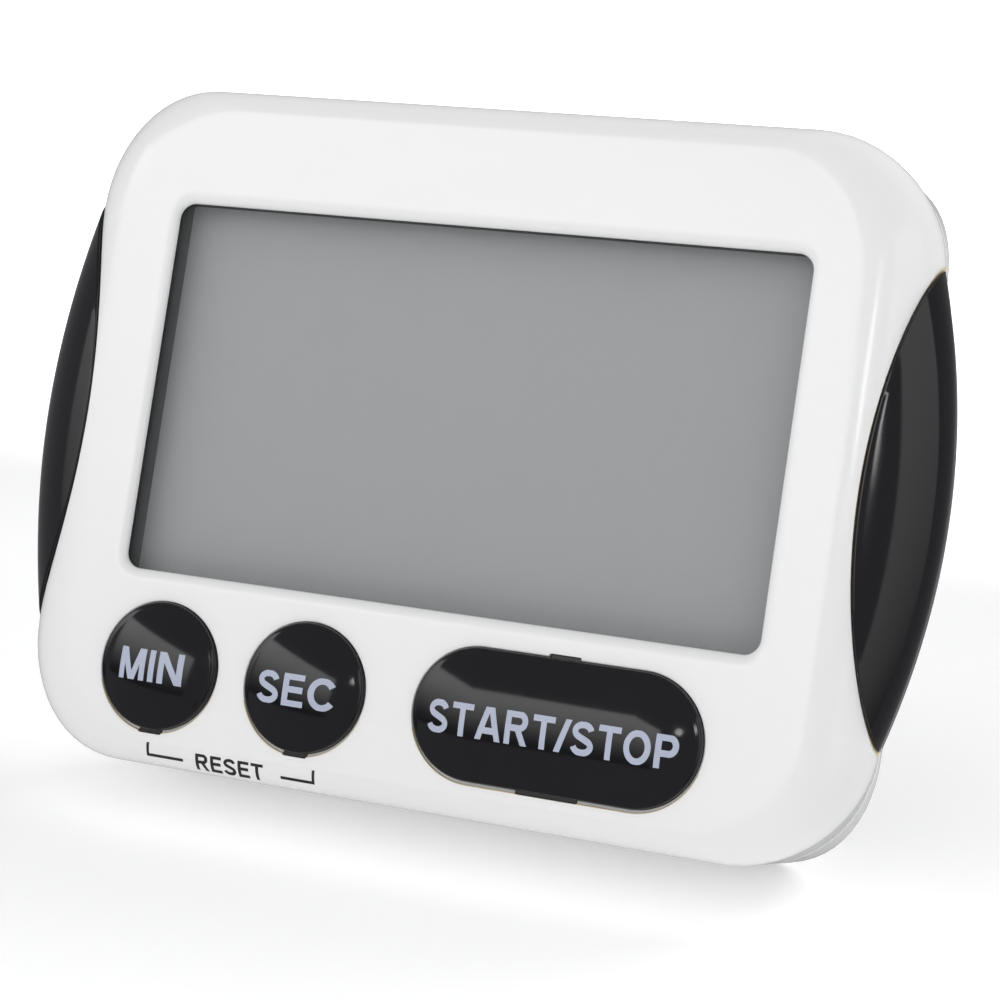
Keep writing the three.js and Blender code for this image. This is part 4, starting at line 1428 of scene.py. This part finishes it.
def soft_panel(name, place, target, size, glow):
    """A cloth panel, bright along its upper edge and fading downwards."""
    wide, tall = size[0] / 2, size[1] / 2
    verts = [(-wide, -tall, 0), (wide, -tall, 0), (wide, tall, 0), (-wide, tall, 0)]
    panel = piece(name, verts, [(0, 1, 2, 3)])
    cloth = finish(f"{name}_cloth", (0.02, 0.02, 0.02), 0.9)
    cloth.node_tree.nodes["Principled BSDF"].inputs["Emission Color"].default_value = (1, 1, 1, 1)
    fade(cloth, "Y", (-tall, tall), (0, glow))
    panel.data.materials.append(cloth)
    panel.location = place
    panel.rotation_euler = (Vector(target) - Vector(place)).to_track_quat("-Z", "Y").to_euler()
    panel.visible_camera = False
    return panel


# The stage, in metres: half its width, where floor and wall meet, and the wall's curve and top.
STAGE = {"half": 4.0, "meet": 0.4, "curve_y": 0.75, "curve": 0.5, "top": 1.6}
# How strongly the sweep glows, from the front of the floor to the back of it: painted light that keeps floor
# and wall white, dipping in a band just behind the case as painted shade.
SWEEP_PAINTED_LIGHT_AND_SHADE = [(0, 0.3), (0.22, 0.2), (0.28, 0.15), (0.33, 0.4), (0.4, 0.8), (1, 0.9)]
FOCAL_LENGTH = 93.6
# From the middle of the window to the camera, in metres, and which way the camera looks.
CAMERA_AWAY = (0.0975, -0.2167, 0.0643)
CAMERA_RIGHT = (0.9196, 0.3930, 0)
CAMERA_FORWARD = (-0.3758, 0.8795, -0.2921)


def make_sweep():
    """The pale floor and the curved wall behind it, glowing with painted light that dips to painted shade
    just behind the case.
    """
    pale = finish("sweep_painted_light", (0.93, 0.93, 0.93), 0.6, variation=0.004, patch=60, grain=1, specular=0.1)
    half, meet, curve = STAGE["half"], STAGE["meet"], STAGE["curve"]
    turns = [math.pi / 2 * i / 16 for i in range(17)]
    rise = [(STAGE["curve_y"] + curve * math.sin(t), curve - curve * math.cos(t)) for t in turns]
    floor = [(-half, 0.0), (meet, 0.0)]
    wall = [(meet, 0.0), *rise, (STAGE["curve_y"] + curve, STAGE["top"])]
    for name, profile in (("floor", floor), ("wall", wall)):
        verts = [(x, y, z) for y, z in profile for x in (-half, half)]
        faces = [(2 * i, 2 * i + 1, 2 * i + 3, 2 * i + 2) for i in range(len(profile) - 1)]
        cloth = piece(f"studio_{name}", verts, faces, pale)
        cloth.data.shade_smooth()
        cloth.visible_glossy = False
        cloth.visible_diffuse = name == "floor"
    # Painted light: the sweep glows white, and glows less just behind the case as painted shade.
    pale.node_tree.nodes["Principled BSDF"].inputs["Emission Color"].default_value = (1, 1, 1, 1)
    fade(pale, "Y", (-0.2, 0.6), (0, 1), SWEEP_PAINTED_LIGHT_AND_SHADE)


def make_lamps():
    light = bpy.context.scene.timer_lighting
    soft_panel("front_panel", (-0.5, -0.72, 0.32), (0, 0, 0.03), (1.3, 0.6), light.front)
    soft_panel("side_panel", (0.84, -0.44, 0.12), (0, 0, 0.03), (0.86, 1.3), light.side)
    overhead = area_lamp("top_panel", (-0.25, -0.42, 0.85), (0, 0, 0), (1.2, 1.0), light.top)
    rear = area_lamp("rear_panel", (0.55, 0.6, 0.7), (0, 0, 0.03), (0.7, 0.7), light.rear)
    for lamp in (overhead, rear):
        lamp.visible_glossy = False
    area_lamp("small_lamp", (0.28, -0.8, 0.5), (0, 0, 0.03), (0.08, 0.08), light.lamp)


def make_surround():
    light = bpy.context.scene.timer_lighting
    world = bpy.data.worlds.new("studio")
    bpy.context.scene.world = world
    world.use_nodes = True
    world.node_tree.nodes["Background"].inputs["Color"].default_value = (0.975, 0.98, 1, 1)
    world.node_tree.nodes["Background"].inputs["Strength"].default_value = light.surround


def make_camera():
    """A camera that keeps its place and angle to the display window."""
    camera = bpy.data.cameras.new("camera")
    camera.lens = FOCAL_LENGTH
    camera.sensor_width = 36
    camera.clip_start = 0.01
    held = bpy.data.objects.new("camera", camera)
    bpy.context.scene.collection.objects.link(held)
    w = bpy.context.scene.timer_window
    window_middle = CASE @ Vector((0, 0, mm(w.high - w.low) / 2))
    held.location = window_middle + Vector(CAMERA_AWAY)
    right = Vector(CAMERA_RIGHT).normalized()
    forward = Vector(CAMERA_FORWARD).normalized()
    up = right.cross(forward).normalized()
    axes = Matrix((right, up, -forward)).transposed().to_4x4()
    held.matrix_world = Matrix.Translation(held.location) @ axes
    bpy.context.scene.camera = held
    bpy.context.scene.view_settings.view_transform = "Standard"


def make_stage():
    make_sweep()
    make_lamps()
    make_surround()
    make_camera()


# ---------- operators ----------


class TIMER_OT_shells(bpy.types.Operator):
    """Make the white front and back shells"""

    bl_idname = "timer.shells"
    bl_label = "Shells"

    def execute(self, context):
        make_front_shell()
        make_rear_shell()
        return {"FINISHED"}


class TIMER_OT_grips(bpy.types.Operator):
    """Make the two black side grips"""

    bl_idname = "timer.grips"
    bl_label = "Side Grips"

    def execute(self, context):
        for side in (-1, 1):
            make_grip(side)
        return {"FINISHED"}


class TIMER_OT_display(bpy.types.Operator):
    """Make the window lens and the liquid crystal display behind it"""

    bl_idname = "timer.display"
    bl_label = "Display"

    def execute(self, context):
        make_display()
        return {"FINISHED"}


class TIMER_OT_keys(bpy.types.Operator):
    """Make the three black keys and their rubber pads"""

    bl_idname = "timer.keys"
    bl_label = "Keys"

    def execute(self, context):
        for key in KEYS:
            make_button(key)
            make_pad(key)
        return {"FINISHED"}


class TIMER_OT_lettering(bpy.types.Operator):
    """Print the function words on the keys and the face"""

    bl_idname = "timer.lettering"
    bl_label = "Lettering"

    def execute(self, context):
        make_lettering()
        return {"FINISHED"}


class TIMER_OT_battery(bpy.types.Operator):
    """Make the sliding battery door and the cell"""

    bl_idname = "timer.battery"
    bl_label = "Battery Bay"

    def execute(self, context):
        make_door()
        make_cell()
        return {"FINISHED"}


class TIMER_OT_back(bpy.types.Operator):
    """Make the fold-out leg and the two magnets"""

    bl_idname = "timer.back"
    bl_label = "Leg and Magnets"

    def execute(self, context):
        make_leg()
        for side, box in zip(("left", "right"), MAGNETS):
            make_magnet(side, box)
        return {"FINISHED"}


class TIMER_OT_screws(bpy.types.Operator):
    """Make the case screws and the board screws"""

    bl_idname = "timer.screws"
    bl_label = "Screws"

    def execute(self, context):
        for corner in ("upper_left", "upper_right", "lower_left", "lower_right"):
            make_screw(f"case_screw_{corner}", 0.9, 0.9)
        for i in range(1, 5):
            make_screw(f"board_screw_{i}", 0.6, 0.6)
        return {"FINISHED"}


class TIMER_OT_board(bpy.types.Operator):
    """Finish the board, the buzzer, the contacts and the wires"""

    bl_idname = "timer.board"
    bl_label = "Board and Buzzer"

    def execute(self, context):
        make_board()
        return {"FINISHED"}


class TIMER_OT_stage(bpy.types.Operator):
    """Set up the sweep, the soft lights and the camera"""

    bl_idname = "timer.stage"
    bl_label = "Stage"

    def execute(self, context):
        make_stage()
        return {"FINISHED"}


MAKERS = [
    TIMER_OT_shells,
    TIMER_OT_grips,
    TIMER_OT_display,
    TIMER_OT_keys,
    TIMER_OT_lettering,
    TIMER_OT_battery,
    TIMER_OT_back,
    TIMER_OT_screws,
    TIMER_OT_board,
    TIMER_OT_stage,
]

SETTINGS = [
    ("timer_case", CaseSizes),
    ("timer_window", WindowSizes),
    ("timer_grips", GripSizes),
    ("timer_keys", KeySizes),
    ("timer_stand", StandSizes),
    ("timer_colours", Colours),
    ("timer_lighting", Lighting),
]


class TIMER_PT_panel(bpy.types.Panel):
    """Lists the timer's makers and their sizes"""

    bl_idname = "TIMER_PT_panel"
    bl_label = "Lab Timer"
    bl_space_type = "VIEW_3D"
    bl_region_type = "UI"
    bl_category = "Lab Timer"

    def draw(self, context):
        for maker in MAKERS:
            self.layout.operator(maker.bl_idname)
        for name, group in SETTINGS:
            box = self.layout.box()
            box.label(text=group.__name__)
            for size in group.__annotations__:
                box.prop(getattr(context.scene, name), size)


CLASSES = [*[group for _, group in SETTINGS], *MAKERS, TIMER_PT_panel]


def register():
    for cls in CLASSES:
        bpy.utils.register_class(cls)
    for name, group in SETTINGS:
        setattr(bpy.types.Scene, name, PointerProperty(type=group))


def unregister():
    for name, _ in SETTINGS:
        delattr(bpy.types.Scene, name)
    for cls in reversed(CLASSES):
        bpy.utils.unregister_class(cls)


def main():
    register()
    for maker in MAKERS:
        group, call = maker.bl_idname.split(".")
        getattr(getattr(bpy.ops, group), call)()


if __name__ == "__main__":
    main()
